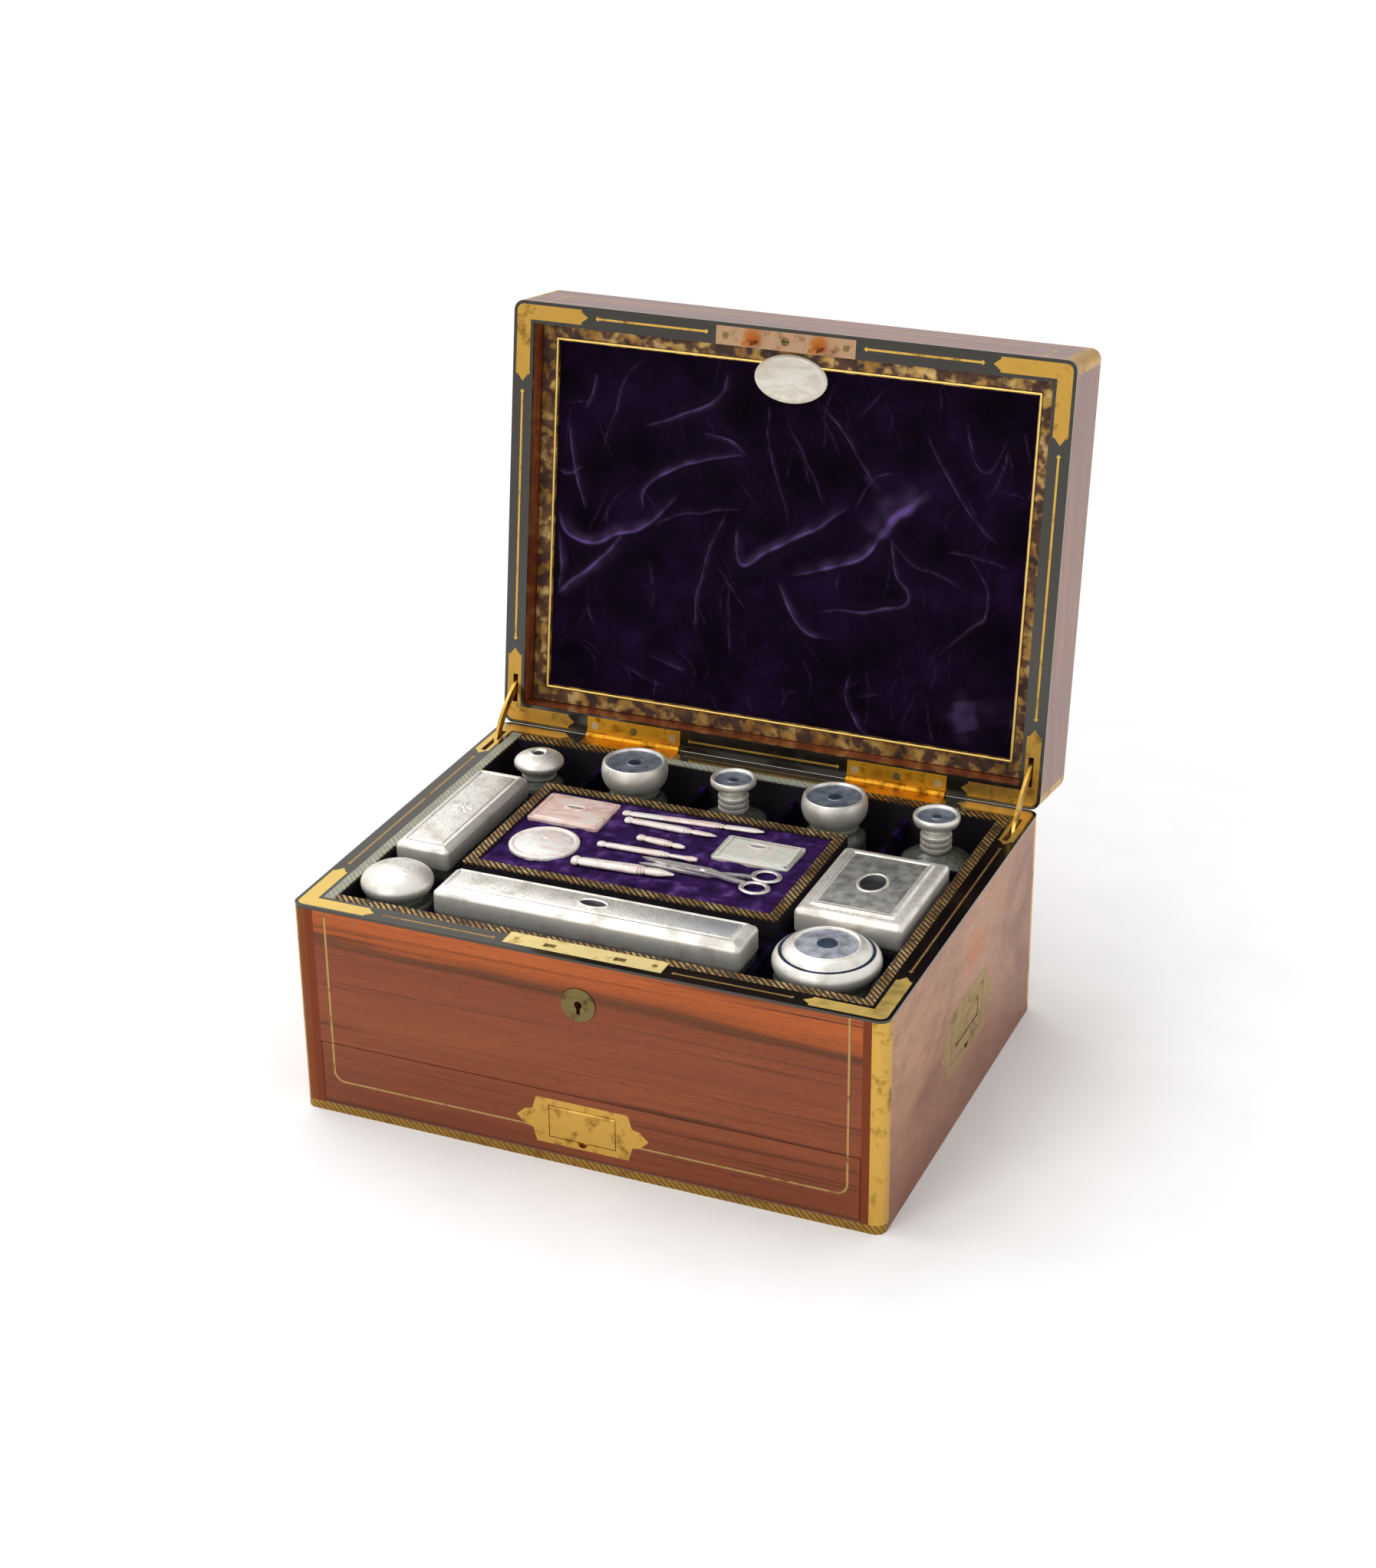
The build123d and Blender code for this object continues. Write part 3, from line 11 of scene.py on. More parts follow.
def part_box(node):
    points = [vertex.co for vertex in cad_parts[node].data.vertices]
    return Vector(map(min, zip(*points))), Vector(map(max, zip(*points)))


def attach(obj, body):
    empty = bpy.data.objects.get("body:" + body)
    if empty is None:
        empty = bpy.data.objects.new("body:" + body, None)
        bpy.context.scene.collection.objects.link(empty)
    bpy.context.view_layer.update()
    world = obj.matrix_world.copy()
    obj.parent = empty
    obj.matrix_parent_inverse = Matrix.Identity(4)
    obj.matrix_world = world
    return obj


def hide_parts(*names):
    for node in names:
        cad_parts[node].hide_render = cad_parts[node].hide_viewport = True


bl_info = {
    "name": "Fitted Dressing Box",
    "version": (1, 0, 0),
    "blender": (4, 5, 0),
    "location": "3D View > Sidebar > Dressing Box",
    "description": "Finishes and modelled fittings of an antique dressing box with a manicure tray",
    "category": "Object",
}

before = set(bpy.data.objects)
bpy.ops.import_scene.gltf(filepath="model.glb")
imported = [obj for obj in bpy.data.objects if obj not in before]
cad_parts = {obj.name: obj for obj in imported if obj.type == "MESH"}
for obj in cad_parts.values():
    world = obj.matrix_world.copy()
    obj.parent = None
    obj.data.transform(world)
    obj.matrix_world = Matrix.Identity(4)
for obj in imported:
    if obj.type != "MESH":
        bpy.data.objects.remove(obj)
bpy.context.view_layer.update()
MM = 0.001

# The lid's hinge line and how far the lid stands open.
HINGE = Vector((0.0, 0.125, 0.1231))
LID_TURN = math.radians(-98.0)
RIM_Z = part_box("case_rim_banding")[1].z


# ---- colour, nodes, materials --------------------------------------------------------------------
def linear(hex_colour):
    """An sRGB hex colour as the linear values that shaders use."""
    parts = [int(hex_colour[i:i + 2], 16) / 255 for i in (0, 2, 4)]
    return tuple(p / 12.92 if p <= 0.04045 else ((p + 0.055) / 1.055) ** 2.4 for p in parts) + (1.0,)


# What nearly every node of a kind is set to, in its settings and in its inputs.
USUAL_SETTINGS = {"Mix": {"data_type": "RGBA"}, "TexWave": {"bands_direction": "DIAGONAL"},
                  "TexGradient": {"gradient_type": "SPHERICAL"}, "Mapping": {"vector_type": "TEXTURE"}}
USUAL_INPUTS = {"TexNoise": {"Scale": 1.0}, "TexVoronoi": {"Scale": 1.0}}


def usable(value):
    """A hex colour as its linear values, a node as its first live output, any other value as it is."""
    if isinstance(value, str):
        return linear(value)
    if isinstance(value, bpy.types.Node):
        return next(output for output in value.outputs if output.enabled)
    return value


def add(material, kind, inputs=(), stops=(), **settings):
    """Add one node with its settings, its inputs in order or by name, and the stops of a colour ramp."""
    node = material.node_tree.nodes.new("ShaderNode" + kind)
    for name, value in (USUAL_SETTINGS.get(kind, {}) | settings).items():
        setattr(node, name, value)
    if isinstance(inputs, dict):
        inputs = USUAL_INPUTS.get(kind, {}) | inputs
        given = [(node.inputs[name], value) for name, value in inputs.items()]
    else:
        given = list(zip([socket for socket in node.inputs if socket.enabled], inputs))
    for socket, value in given:
        value = usable(value)
        if isinstance(value, bpy.types.NodeSocket):
            material.node_tree.links.new(value, socket)
        else:
            socket.default_value = value
    if stops:
        while len(node.color_ramp.elements) < len(stops):
            node.color_ramp.elements.new(1.0)
        for stop, (place, colour) in zip(node.color_ramp.elements, stops):
            stop.position = place
            stop.color = linear(colour) if isinstance(colour, str) else (colour, colour, colour, 1.0)
    return node


def surface(name, **sockets):
    """A new material whose one shader has these constant sockets."""
    material = bpy.data.materials.new(name)
    material.use_nodes = True
    shader = material.node_tree.nodes["Principled BSDF"]
    for socket, value in sockets.items():
        shader.inputs[socket.replace("_", " ")].default_value = usable(value)
    return material, shader


def feed(material, shader, **sockets):
    """Link node outputs to the shader's sockets."""
    for socket, source in sockets.items():
        material.node_tree.links.new(usable(source), shader.inputs[socket.replace("_", " ")])
    return material


def grain_space(material, sizes, lid=False):
    """Object coordinates divided by one or three feature sizes in mm; the lid's as when it is shut."""
    place = add(material, "TexCoord").outputs["Object"]
    if lid:
        place = add(material, "Mapping", {"Vector": place, "Location": HINGE, "Rotation": (LID_TURN, 0, 0)})
        place = add(material, "VectorMath", [place, HINGE], operation="ADD")
    if not isinstance(sizes, tuple):
        sizes = (sizes, sizes, sizes)
    return add(material, "Mapping", {"Vector": place, "Scale": tuple(size * MM for size in sizes)})


# Places on the case where finishes change, in mm from its middle and its foot.
FRONT = 124.0                                   # the front and back faces lie beyond this
SIDE_LOW, SIDE_REAR = (84.0, 6.0), (20.0, 120.0)   # heights and depths over which painted shade deepens the side veneer
SIDE_PATCH = ((9000, 24, 15), (0.0, 0.6, 6.2))  # soft orange patch: its half sizes, its middle in those
FOOT_STRIP = 5.1                                # top of the hatched strip round the foot
LEFT_CORNER = (-164.4, -163.4)                  # the rubbed corner of the left angles
LEFT_ANGLE = -150.0                             # the left angles lie beyond this
RIM_PLATES = (121.8, 122.8)                     # heights over which the rim's plates take a painted highlight
LINER_BACK, LINER_LEFT = (104.0, 107.0), (-146.0, -147.5)   # where the painted reflection on the back and left runs begins
HINGE_GAP = (66.0, 54.0)                        # half the run between the hinges
SPOT = 7                                        # radius of a darker spot on the strike plate
GILT_DEEP = (1.1, 0.7)                          # how far gilding reaches down from a board's top edge


def rosewood(name, long, across, up, lid=False, bands=False, sides=False, lines=1.0,
             tones=("4e2012", "6f3119", "843f21", "9a5530")):
    """Rosewood veneer, sliced and French polished: brown-red figure, near-black lines, soft gloss."""
    material, shader = surface(name, Roughness=0.24, Specular_IOR_Level=0.14 if sides else 0.42,
                               Specular_Tint="ffd8b0", Coat_Weight=0.0 if sides else 0.08,
                               Coat_Roughness=0.1)
    colours = bpy.context.scene.dressing_colours
    figure = add(material, "TexNoise", {"Vector": grain_space(material, (long, across, up), lid),
                                        "Detail": 4.0, "Roughness": 0.55, "Distortion": 0.7})
    wood = figured = add(material, "ValToRGB", [figure], list(zip((0.30, 0.46, 0.60, 0.78), tones)))
    if bands:
        height = add(material, "SeparateXYZ", [grain_space(material, 125)])
        sway = add(material, "TexNoise", {"Vector": grain_space(material, (150, 150, 60)), "Detail": 2.0})
        swayed = add(material, "Math", [sway, 0.14, -0.07], operation="MULTIPLY_ADD")
        tilted = add(material, "Math", [height.outputs["X"], 0.03, swayed], operation="MULTIPLY_ADD")
        level = add(material, "Math", [height.outputs["Z"], tilted])
        band = add(material, "ValToRGB", [level], [(0.05, "6c301c"), (0.30, "7c3c22"), (0.42, "8d4629"),
                                                   (0.64, "84402a"), (0.78, "7c3a22"), (0.80, "2e1a0c"),
                                                   (0.825, "43260f"), (0.845, "b0531f"), (0.93, "cf6629")])
        wood = add(material, "Mix", [0.70, figured, band])
    streak_sizes = (long * 2.2, max(across / 4, 2.2), max(up / 4, 2.2))
    streaks = add(material, "TexNoise", {"Vector": grain_space(material, streak_sizes, lid), "Detail": 3.0,
                                         "Roughness": 0.6, "Distortion": 0.3})
    streak = add(material, "ValToRGB", [streaks], [(0.30, 1.0), (0.40, 0.25), (0.50, 0.0)])
    strength = add(material, "Math", [streak, lines], operation="MULTIPLY")
    lined = add(material, "Mix", [strength, wood, "36150b"])
    # Pores are finer than this in the wood, and are drawn coarser so that they show.
    pore_sizes = (min(long, 9.0), min(across, 9.0) if across > 50 else 0.5, 0.5)
    pores = add(material, "TexNoise", {"Vector": grain_space(material, pore_sizes, lid), "Detail": 2.0})
    pore = add(material, "ValToRGB", [pores], [(0.36, 0.72), (0.50, 1.0)])
    grained = add(material, "Mix", [1.0, lined, pore], blend_type="MULTIPLY")
    warm = add(material, "Mix", [0.25, grained, tuple(colours.rosewood) + (1,)])
    if sides:
        # Painted shade: the side veneer deepens towards its foot and its back.
        place = add(material, "SeparateXYZ", [grain_space(material, 1)])
        low = add(material, "MapRange", [place.outputs["Z"], *SIDE_LOW, 0.0, 0.80])
        rear = add(material, "MapRange", [place.outputs["Y"], *SIDE_REAR, 0.0, 0.45])
        deeper = add(material, "Math", [low, rear], operation="MAXIMUM")
        warm = add(material, "Mix", [deeper, warm, "74381c"])
        sizes, centre = SIDE_PATCH
        away = add(material, "VectorMath", [grain_space(material, sizes), centre], operation="SUBTRACT")
        patch = add(material, "TexGradient", [away])
        warm = add(material, "Mix", [patch.outputs["Fac"], warm, "b8682c"])
        depth = add(material, "Math", [place.outputs["Y"]], operation="ABSOLUTE")
        front = add(material, "Math", [depth, FRONT + 0.5], operation="GREATER_THAN")
        warm = add(material, "Mix", [front, warm, "72351f"])
    bump = add(material, "Bump", {"Height": pores, "Strength": 0.06, "Distance": 0.2 * MM})
    return feed(material, shader, Base_Color=warm, Normal=bump)


def secondary_wood(name):
    """Mahogany boards inside the case, planed and waxed: straight brown grain with little gloss."""
    material, shader = surface(name, Roughness=0.55, Coat_Weight=0.15, Coat_Roughness=0.4)
    grain = add(material, "TexNoise", {"Vector": grain_space(material, (120, 4, 4)), "Detail": 5.0,
                                       "Distortion": 0.4})
    wood = add(material, "ValToRGB", [grain], [(0.3, "4e2a1a"), (0.52, "6b3d26"), (0.75, "7f4d31")])
    return feed(material, shader, Base_Color=wood)


def ebony(name):
    """Ebony banding, scraped and polished: almost black, mirror-like at a low angle, faint brown lines."""
    material, shader = surface(name, Roughness=0.22, Coat_Weight=0.9, Coat_Roughness=0.10,
                               Coat_Tint="e6dcc4")
    grain = add(material, "TexNoise", {"Vector": grain_space(material, (30, 30, 1.2)), "Detail": 3.0})
    wood = add(material, "ValToRGB", [grain], [(0.35, "0e0b0a"), (0.62, "1b1512"), (0.75, "2b211b")])
    bump = add(material, "Bump", {"Height": grain, "Strength": 0.05, "Distance": 0.2 * MM})
    return feed(material, shader, Base_Color=wood, Normal=bump)


def brass(name, light, dark, roughness, hatched=False, spots=None):
    """Rolled brass, filed flush and rubbed by hand: warm yellow, fine scratches, browner in between."""
    material, shader = surface(name, Metallic=1.0)
    smudge = add(material, "TexNoise", {"Vector": grain_space(material, 9), "Detail": 4.0,
                                        "Roughness": 0.6})
    colour = add(material, "ValToRGB", [smudge], [(0.30, dark), (0.46, light), (0.72, light)])
    # Rubbing marks are finer than this in the metal, and are drawn coarser so that they show.
    scratch = add(material, "TexNoise", {"Vector": grain_space(material, (6, 0.5, 0.5)), "Detail": 3.0})
    rough = add(material, "MapRange", [smudge, 0.3, 0.7, roughness + 0.12, roughness - 0.04])
    bump = add(material, "Bump", {"Height": scratch, "Strength": 0.10, "Distance": 0.15 * MM})
    if hatched:
        lines = add(material, "TexWave", {"Vector": grain_space(material, 1), "Scale": 0.17,
                                          "Distortion": 0.9, "Detail": 1.0})
        line = add(material, "ValToRGB", [lines.outputs["Fac"]], [(0.25, 0.25), (0.5, 1.0)])
        foot = add(material, "SeparateXYZ", [grain_space(material, FOOT_STRIP)])
        above = add(material, "Math", [foot.outputs["Z"], 1.0], operation="GREATER_THAN")
        kept = add(material, "Math", [line, above], operation="MAXIMUM")
        colour = add(material, "Mix", [kept, "6e4f1f", colour])
        dulled = add(material, "MapRange", [above, 0.0, 1.0, 0.45, 0.0])
        colour = add(material, "Mix", [dulled, colour, "6f5230"])
        # The front left angle has gone brown behind its rubbed corner.
        place = add(material, "SeparateXYZ", [grain_space(material, 1)])
        corner = add(material, "MapRange", [place.outputs["X"], *LEFT_CORNER])
        front = add(material, "Math", [place.outputs["Y"], -FRONT], operation="LESS_THAN")
        leg = add(material, "Math", [place.outputs["X"], LEFT_ANGLE], operation="LESS_THAN")
        both = add(material, "Math", [front, leg], operation="MULTIPLY")
        browned = add(material, "Math", [both, corner], operation="MULTIPLY")
        upright = add(material, "Math", [browned, above], operation="MULTIPLY")
        colour = add(material, "Mix", [upright, colour, "7f4729"])
        # Painted highlight: the rim's plates are drawn pale gold.
        rim_plate_highlight = add(material, "MapRange", [place.outputs["Z"], *RIM_PLATES, 0.0, 0.8])
        colour = add(material, "Mix", [rim_plate_highlight, colour, "f0d078"])
    if spots:
        mirrored = add(material, "VectorMath", [grain_space(material, 1)], operation="ABSOLUTE")
        shares = {"Scale": (1 / SPOT, 0, 1 / SPOT), "Location": (-spots[0] / SPOT, 0, -spots[1] / SPOT)}
        round_spot = add(material, "Mapping", {"Vector": mirrored} | shares, vector_type="POINT")
        spot = add(material, "TexGradient", [round_spot])
        near = add(material, "MapRange", [spot.outputs["Fac"], 0.05, 0.5, 0.0, 0.85])
        colour = add(material, "Mix", [near, colour, "a85f22"])
    return feed(material, shader, Base_Color=colour, Roughness=rough, Normal=bump)


def steel(name):
    """Polished steel, ground and burnished: cool grey with a few fine dark marks."""
    material, shader = surface(name, Metallic=0.75, Roughness=0.36)
    marks = add(material, "TexNoise", {"Vector": grain_space(material, (5, 1.2, 5)), "Detail": 4.0})
    metal = add(material, "ValToRGB", [marks], [(0.32, "b3adab"), (0.5, "e6e0dd"), (0.7, "f0ebe7")])
    return feed(material, shader, Base_Color=metal)


def gilt_leather(name, lid=False, hatched=True, edge=None, painted_glare=False):
    """Brown leather tooled in gold leaf: slanting gold strokes and flecks, rubbed through to brown."""
    material, shader = surface(name, Specular_IOR_Level=0.4)
    worn = add(material, "TexNoise", {"Vector": grain_space(material, 3.2 if hatched else 8, lid),
                                      "Detail": 3.0, "Roughness": 0.5})
    gold = add(material, "ValToRGB", [worn], [(0.46, 0.0), (0.56, 0.6), (0.70, 0.9)])
    browns = [(0.34, "2a140b"), (0.54, "4a2b18"), (0.72, "6f4820")]
    if hatched:
        browns = [(0.34, "120a08"), (0.56, "20120c"), (0.74, "3a2211")]
        ropes = add(material, "TexWave", {"Vector": grain_space(material, 1, lid), "Scale": 0.17,
                                          "Distortion": 1.2, "Detail": 1.0, "Detail Scale": 0.4})
        stroke = add(material, "ValToRGB", [ropes.outputs["Fac"]], [(0.48, 0.0), (0.64, 1.0)])
        rubbed = add(material, "ValToRGB", [worn], [(0.36, 0.1), (0.52, 0.9)])
        gold = add(material, "Math", [stroke, rubbed], operation="MULTIPLY")
    patches = add(material, "TexNoise", {"Vector": grain_space(material, 14, lid), "Detail": 2.0})
    tone = add(material, "ValToRGB", [patches], [(0.36, "96692c"), (0.52, "c79c50"), (0.68, "e2c584")])
    leather = add(material, "ValToRGB", [patches], browns)
    colour = add(material, "Mix", [gold, leather, tone])
    if edge:
        height = add(material, "SeparateXYZ", [grain_space(material, 1)])
        top = add(material, "MapRange", [height.outputs["Z"], edge - GILT_DEEP[0], edge - GILT_DEEP[1]])
        gold = add(material, "Math", [gold, top], operation="MULTIPLY")
        colour = add(material, "Mix", [top, "120a16", colour])
    if painted_glare:
        # Painted reflection: the left run, and the run between the hinges, are drawn pale grey-green where
        # they mirror the bright room.
        place = add(material, "SeparateXYZ", [grain_space(material, 1)])
        back = add(material, "MapRange", [place.outputs["Y"], *LINER_BACK, 0.0, 0.8])
        apart = add(material, "Math", [place.outputs["X"]], operation="ABSOLUTE")
        inner = add(material, "MapRange", [apart, *HINGE_GAP])
        high = add(material, "Math", [place.outputs["Z"], edge - GILT_DEEP[1]], operation="GREATER_THAN")
        run = add(material, "Math", [back, inner], operation="MULTIPLY")
        left = add(material, "MapRange", [place.outputs["X"], *LINER_LEFT, 0.0, 0.55])
        either = add(material, "Math", [run, left], operation="MAXIMUM")
        pale = add(material, "Math", [either, high], operation="MULTIPLY")
        colour = add(material, "Mix", [pale, colour, "b4bcae"])
    sheen = add(material, "MapRange", [gold, 0.0, 1.0, 0.62, 0.38])
    metal = add(material, "Math", [gold, 0.8], operation="MULTIPLY")
    bump = add(material, "Bump", {"Height": gold, "Strength": 0.2, "Distance": 0.15 * MM}, invert=True)
    return feed(material, shader, Base_Color=colour, Roughness=sheen, Metallic=metal, Normal=bump)


def velvet(name, deep, base, lit, creased=False):
    """Silk velvet, cut pile: swallows light face on, with a painted violet sheen where the pile leans over
    a fold.
    """
    material, shader = surface(name, Roughness=0.95, Specular_IOR_Level=0.05, Sheen_Weight=0.12,
                               Sheen_Roughness=0.4, Sheen_Tint="54406c")
    stroke = 34 if creased else 11
    pile = add(material, "TexNoise", {"Vector": grain_space(material, stroke),
                                      "Detail": 5.0, "Roughness": 0.55})
    colour = add(material, "ValToRGB", [pile], [(0.36, deep), (0.55, base), (0.75, lit)])
    if creased:
        # Painted sheen: the light stored on the folds turns the pile violet.
        fold = add(material, "Attribute", attribute_name="crease")
        raised = add(material, "Math", [fold.outputs["Fac"], 2.4], operation="MULTIPLY", use_clamp=True)
        fold_sheen = add(material, "ValToRGB", [fold.outputs["Fac"]],
                   [(0.06, "160a20"), (0.42, "33243f"), (0.75, "48345f"), (1.0, "5c437e")])
        colour = add(material, "Mix", [raised, colour, fold_sheen])
    # Pile tufts are finer than this, and are drawn coarser so that they show.
    tufts = add(material, "TexNoise", {"Vector": grain_space(material, 0.7), "Detail": 2.0})
    bump = add(material, "Bump", {"Height": tufts, "Strength": 0.3, "Distance": 0.3 * MM})
    return feed(material, shader, Base_Color=colour, Normal=bump)


def silver(name, cool_end=None):
    """Silver, spun or stamped, chased and softly polished: near white, grey in the chased scrolls."""
    material, shader = surface(name, Metallic=0.72, Specular_IOR_Level=0.5)
    scrolls = add(material, "TexWave", {"Vector": grain_space(material, 1), "Scale": 0.22,
                                        "Distortion": 14.0, "Detail": 2.0, "Detail Scale": 1.4,
                                        "Detail Roughness": 0.6})
    cut = add(material, "ValToRGB", [scrolls.outputs["Fac"]], [(0.10, 0.62), (0.45, 1.0)])
    up = add(material, "SeparateXYZ", [add(material, "NewGeometry").outputs["Normal"]])
    flat = add(material, "MapRange", [up.outputs["Z"], 0.80, 0.97])
    engraved = add(material, "Mix", [flat, 1.0, cut], data_type="FLOAT")
    smudge = add(material, "TexNoise", {"Vector": grain_space(material, 12), "Detail": 4.0})
    metal = add(material, "ValToRGB", [smudge], [(0.32, "cfcac0"), (0.50, "f1ede4"), (0.72, "faf7ef")])
    colour = add(material, "Mix", [engraved, "8f8b83", metal])
    if cool_end:
        # Painted reflection: the panel turns blue-grey towards the right, where it mirrors the dark lid.
        along = add(material, "SeparateXYZ", [grain_space(material, 1)])
        painted_reflection = add(material, "MapRange", [along.outputs["X"], 0.0, cool_end, 0.0, 0.55])
        colour = add(material, "Mix", [painted_reflection, colour, "8a92a2"])
    rough = add(material, "MapRange", [smudge, 0.3, 0.7, 0.50, 0.36])
    bump = add(material, "Bump", {"Height": engraved, "Strength": 0.14, "Distance": 0.15 * MM})
    return feed(material, shader, Base_Color=colour, Roughness=rough, Normal=bump)


def reflection_tinted_silver(name, tone):
    """Silver drawn darker, blue-grey, smooth and patchy: painted reflection of the dark lid, and painted
    shade in a groove.
    """
    material, shader = surface(name, Metallic=0.6, Roughness=0.42)
    painted_reflection = add(material, "TexNoise", {"Vector": grain_space(material, 6), "Detail": 4.0})
    patch = add(material, "ValToRGB", [painted_reflection], [(0.35, 0.6), (0.65, 1.25)])
    metal = add(material, "Mix", [1.0, tone, patch], blend_type="MULTIPLY")
    return feed(material, shader, Base_Color=metal)


def cut_glass(name):
    """Lead glass, cut and polished: clear with a grey-green body and sharp glints."""
    material, shader = surface(name, Roughness=0.03, IOR=1.54, Transmission_Weight=0.92)
    tint = add(material, "TexNoise", {"Vector": grain_space(material, 20), "Detail": 2.0})
    body = add(material, "ValToRGB", [tint], [(0.35, "c4cdbd"), (0.65, "e6ebe0")])
    facets = add(material, "TexVoronoi", {"Vector": grain_space(material, 5)}, feature="F1",
                 distance="MANHATTAN")
    bump = add(material, "Bump", {"Height": facets, "Strength": 0.5, "Distance": 0.6 * MM})
    return feed(material, shader, Base_Color=body, Normal=bump)


def looking_glass(name):
    """Silvered plate glass: a bright mirror with faint grey foxing in patches."""
    material, shader = surface(name, Metallic=1.0, Roughness=0.03)
    foxing = add(material, "TexNoise", {"Vector": grain_space(material, 12, True), "Detail": 5.0})
    glass = add(material, "ValToRGB", [foxing], [(0.25, "8f8b80"), (0.36, "dfe3e2"), (0.60, "e8ecec")])
    return feed(material, shader, Base_Color=glass)


def pearl(name, light, warm, cool):
    """Mother-of-pearl, sawn and polished: cream with pink and green clouds that lie in soft layers."""
    material, shader = surface(name, Roughness=0.22, Coat_Weight=0.7, Coat_Roughness=0.08,
                               Specular_IOR_Level=0.6)
    layers = add(material, "TexNoise", {"Vector": grain_space(material, (16, 7, 7)), "Detail": 4.0,
                                        "Distortion": 1.2})
    shell = add(material, "ValToRGB", [layers], [(0.30, cool), (0.46, light), (0.60, warm), (0.74, light)])
    ripple = add(material, "Bump", {"Height": layers, "Strength": 0.12, "Distance": 0.5 * MM})
    return feed(material, shader, Base_Color=shell, Normal=ripple)


def dark_recess(name):
    """Painted shade, with dirt and old polish, at the bottom of a screw slot or an engraved line: dull and
    near black.
    """
    material, shader = surface(name, Roughness=0.8)
    grime = add(material, "TexNoise", {"Vector": grain_space(material, 2), "Detail": 3.0})
    dirt = add(material, "ValToRGB", [grime], [(0.35, "0f0a06"), (0.65, "2b1d10")])
    return feed(material, shader, Base_Color=dirt)


def sweep_paper(name):
    """Matt white paper under the box: even and pale, with a tooth too fine to see."""
    material, shader = surface(name, Roughness=0.9, Specular_IOR_Level=0.2)
    tooth = add(material, "TexNoise", {"Vector": grain_space(material, 40), "Detail": 3.0})
    paper = add(material, "ValToRGB", [tooth], [(0.3, "f8f8f8"), (0.7, "fcfcfc")])
    return feed(material, shader, Base_Color=paper)


# ---- modelling helpers ---------------------------------------------------------------------------
DOUBLES_WITHIN = 0.004      # points of a new piece closer than this, in mm, are one
WELD_WITHIN = 0.005         # and so are a CAD node's
EASED_ANGLE = 50            # edges sharper than this are eased, in degrees
TIP_R = 0.002               # radius in mm at which a turned piece's end is closed


def begin(kind, name, place=(0, 0, 0), turn=(0, 0, 0), scale=(1, 1, 1), **sizes):
    """Add a primitive, put its place into its mesh, and open it for editing with all of it selected."""
    bpy.ops.object.select_all(action="DESELECT")
    getattr(bpy.ops.mesh, f"primitive_{kind}_add")(location=place, rotation=turn, **sizes)
    piece = bpy.context.object
    piece.name = piece.data.name = name
    piece.scale = scale
    bpy.ops.object.transform_apply(location=True, rotation=True, scale=True)
    bpy.ops.object.mode_set(mode="EDIT")
    bpy.ops.mesh.select_mode(type="VERT")
    bpy.ops.mesh.select_all(action="SELECT")
    return piece


def oval(name, place, half_x, half_y, points):
    """Begin an oval disc with half sizes in metres."""
    return begin("circle", name, place, vertices=points, radius=1.0, fill_type="NGON",
                 scale=(half_x, half_y, 1.0))


def pick(parts, wanted):
    """Select only the faces or edges for which wanted is true."""
    bpy.ops.mesh.select_mode(type={"faces": "FACE", "edges": "EDGE", "verts": "VERT"}[parts])
    bpy.ops.mesh.select_all(action="DESELECT")
    data = bpy.context.object.data
    mesh = bmesh.from_edit_mesh(data)
    for part in getattr(mesh, parts):
        if wanted(part):
            part.select_set(True)
    mesh.select_flush(True)
    bmesh.update_edit_mesh(data)


def middle_of_selection():
    """Centre of what is selected in edit mode."""
    mesh = bmesh.from_edit_mesh(bpy.context.object.data)
    places = [point.co for point in mesh.verts if point.select]
    return tuple(sum(p[i] for p in places) / len(places) for i in range(3))


def extrude(x=0.0, y=0.0, z=0.0):
    """Draw what is selected out by so many mm."""
    bpy.ops.mesh.extrude_region_move(TRANSFORM_OT_translate={"value": (x * MM, y * MM, z * MM)})


def inset(*steps):
    """Inset the selected faces again and again, each time by a thickness and a depth in mm."""
    for thickness, depth in steps:
        bpy.ops.mesh.inset(thickness=thickness * MM, depth=depth * MM)


def close(smooth=35.0, outward=True):
    """Merge doubles, point the faces outwards and leave edit mode with soft shading."""
    bpy.ops.mesh.select_all(action="SELECT")
    bpy.ops.mesh.remove_doubles(threshold=DOUBLES_WITHIN * MM)
    if outward:
        bpy.ops.mesh.normals_make_consistent(inside=False)
    bpy.ops.object.mode_set(mode="OBJECT")
    bpy.ops.object.shade_smooth_by_angle(angle=math.radians(smooth))
    return bpy.context.object


def only(piece):
    """Select and activate one piece."""
    bpy.ops.object.select_all(action="DESELECT")
    piece.select_set(True)
    bpy.context.view_layer.objects.active = piece


def move(piece, matrix):
    """Carry a piece's mesh to its place; its object stays at the origin."""
    piece.data.transform(matrix)
    piece.data.update()


def finish_with(piece, kind, **settings):
    """Add one modifier and apply it."""
    only(piece)
    modifier = piece.modifiers.new(kind.title(), kind)
    for name, value in settings.items():
        setattr(modifier, name, value)
    bpy.ops.object.modifier_apply(modifier=modifier.name)


def join(pieces, name):
    """Several meshes as one piece."""
    bpy.ops.object.select_all(action="DESELECT")
    for piece in pieces:
        piece.select_set(True)
    bpy.context.view_layer.objects.active = pieces[0]
    bpy.ops.object.join()
    piece = bpy.context.object
    piece.name = piece.data.name = name
    return piece


def copy_of(piece, name):
    """The same shape again, with its own mesh."""
    twin = piece.copy()
    twin.data = piece.data.copy()
    twin.name = twin.data.name = name
    bpy.context.scene.collection.objects.link(twin)
    return twin


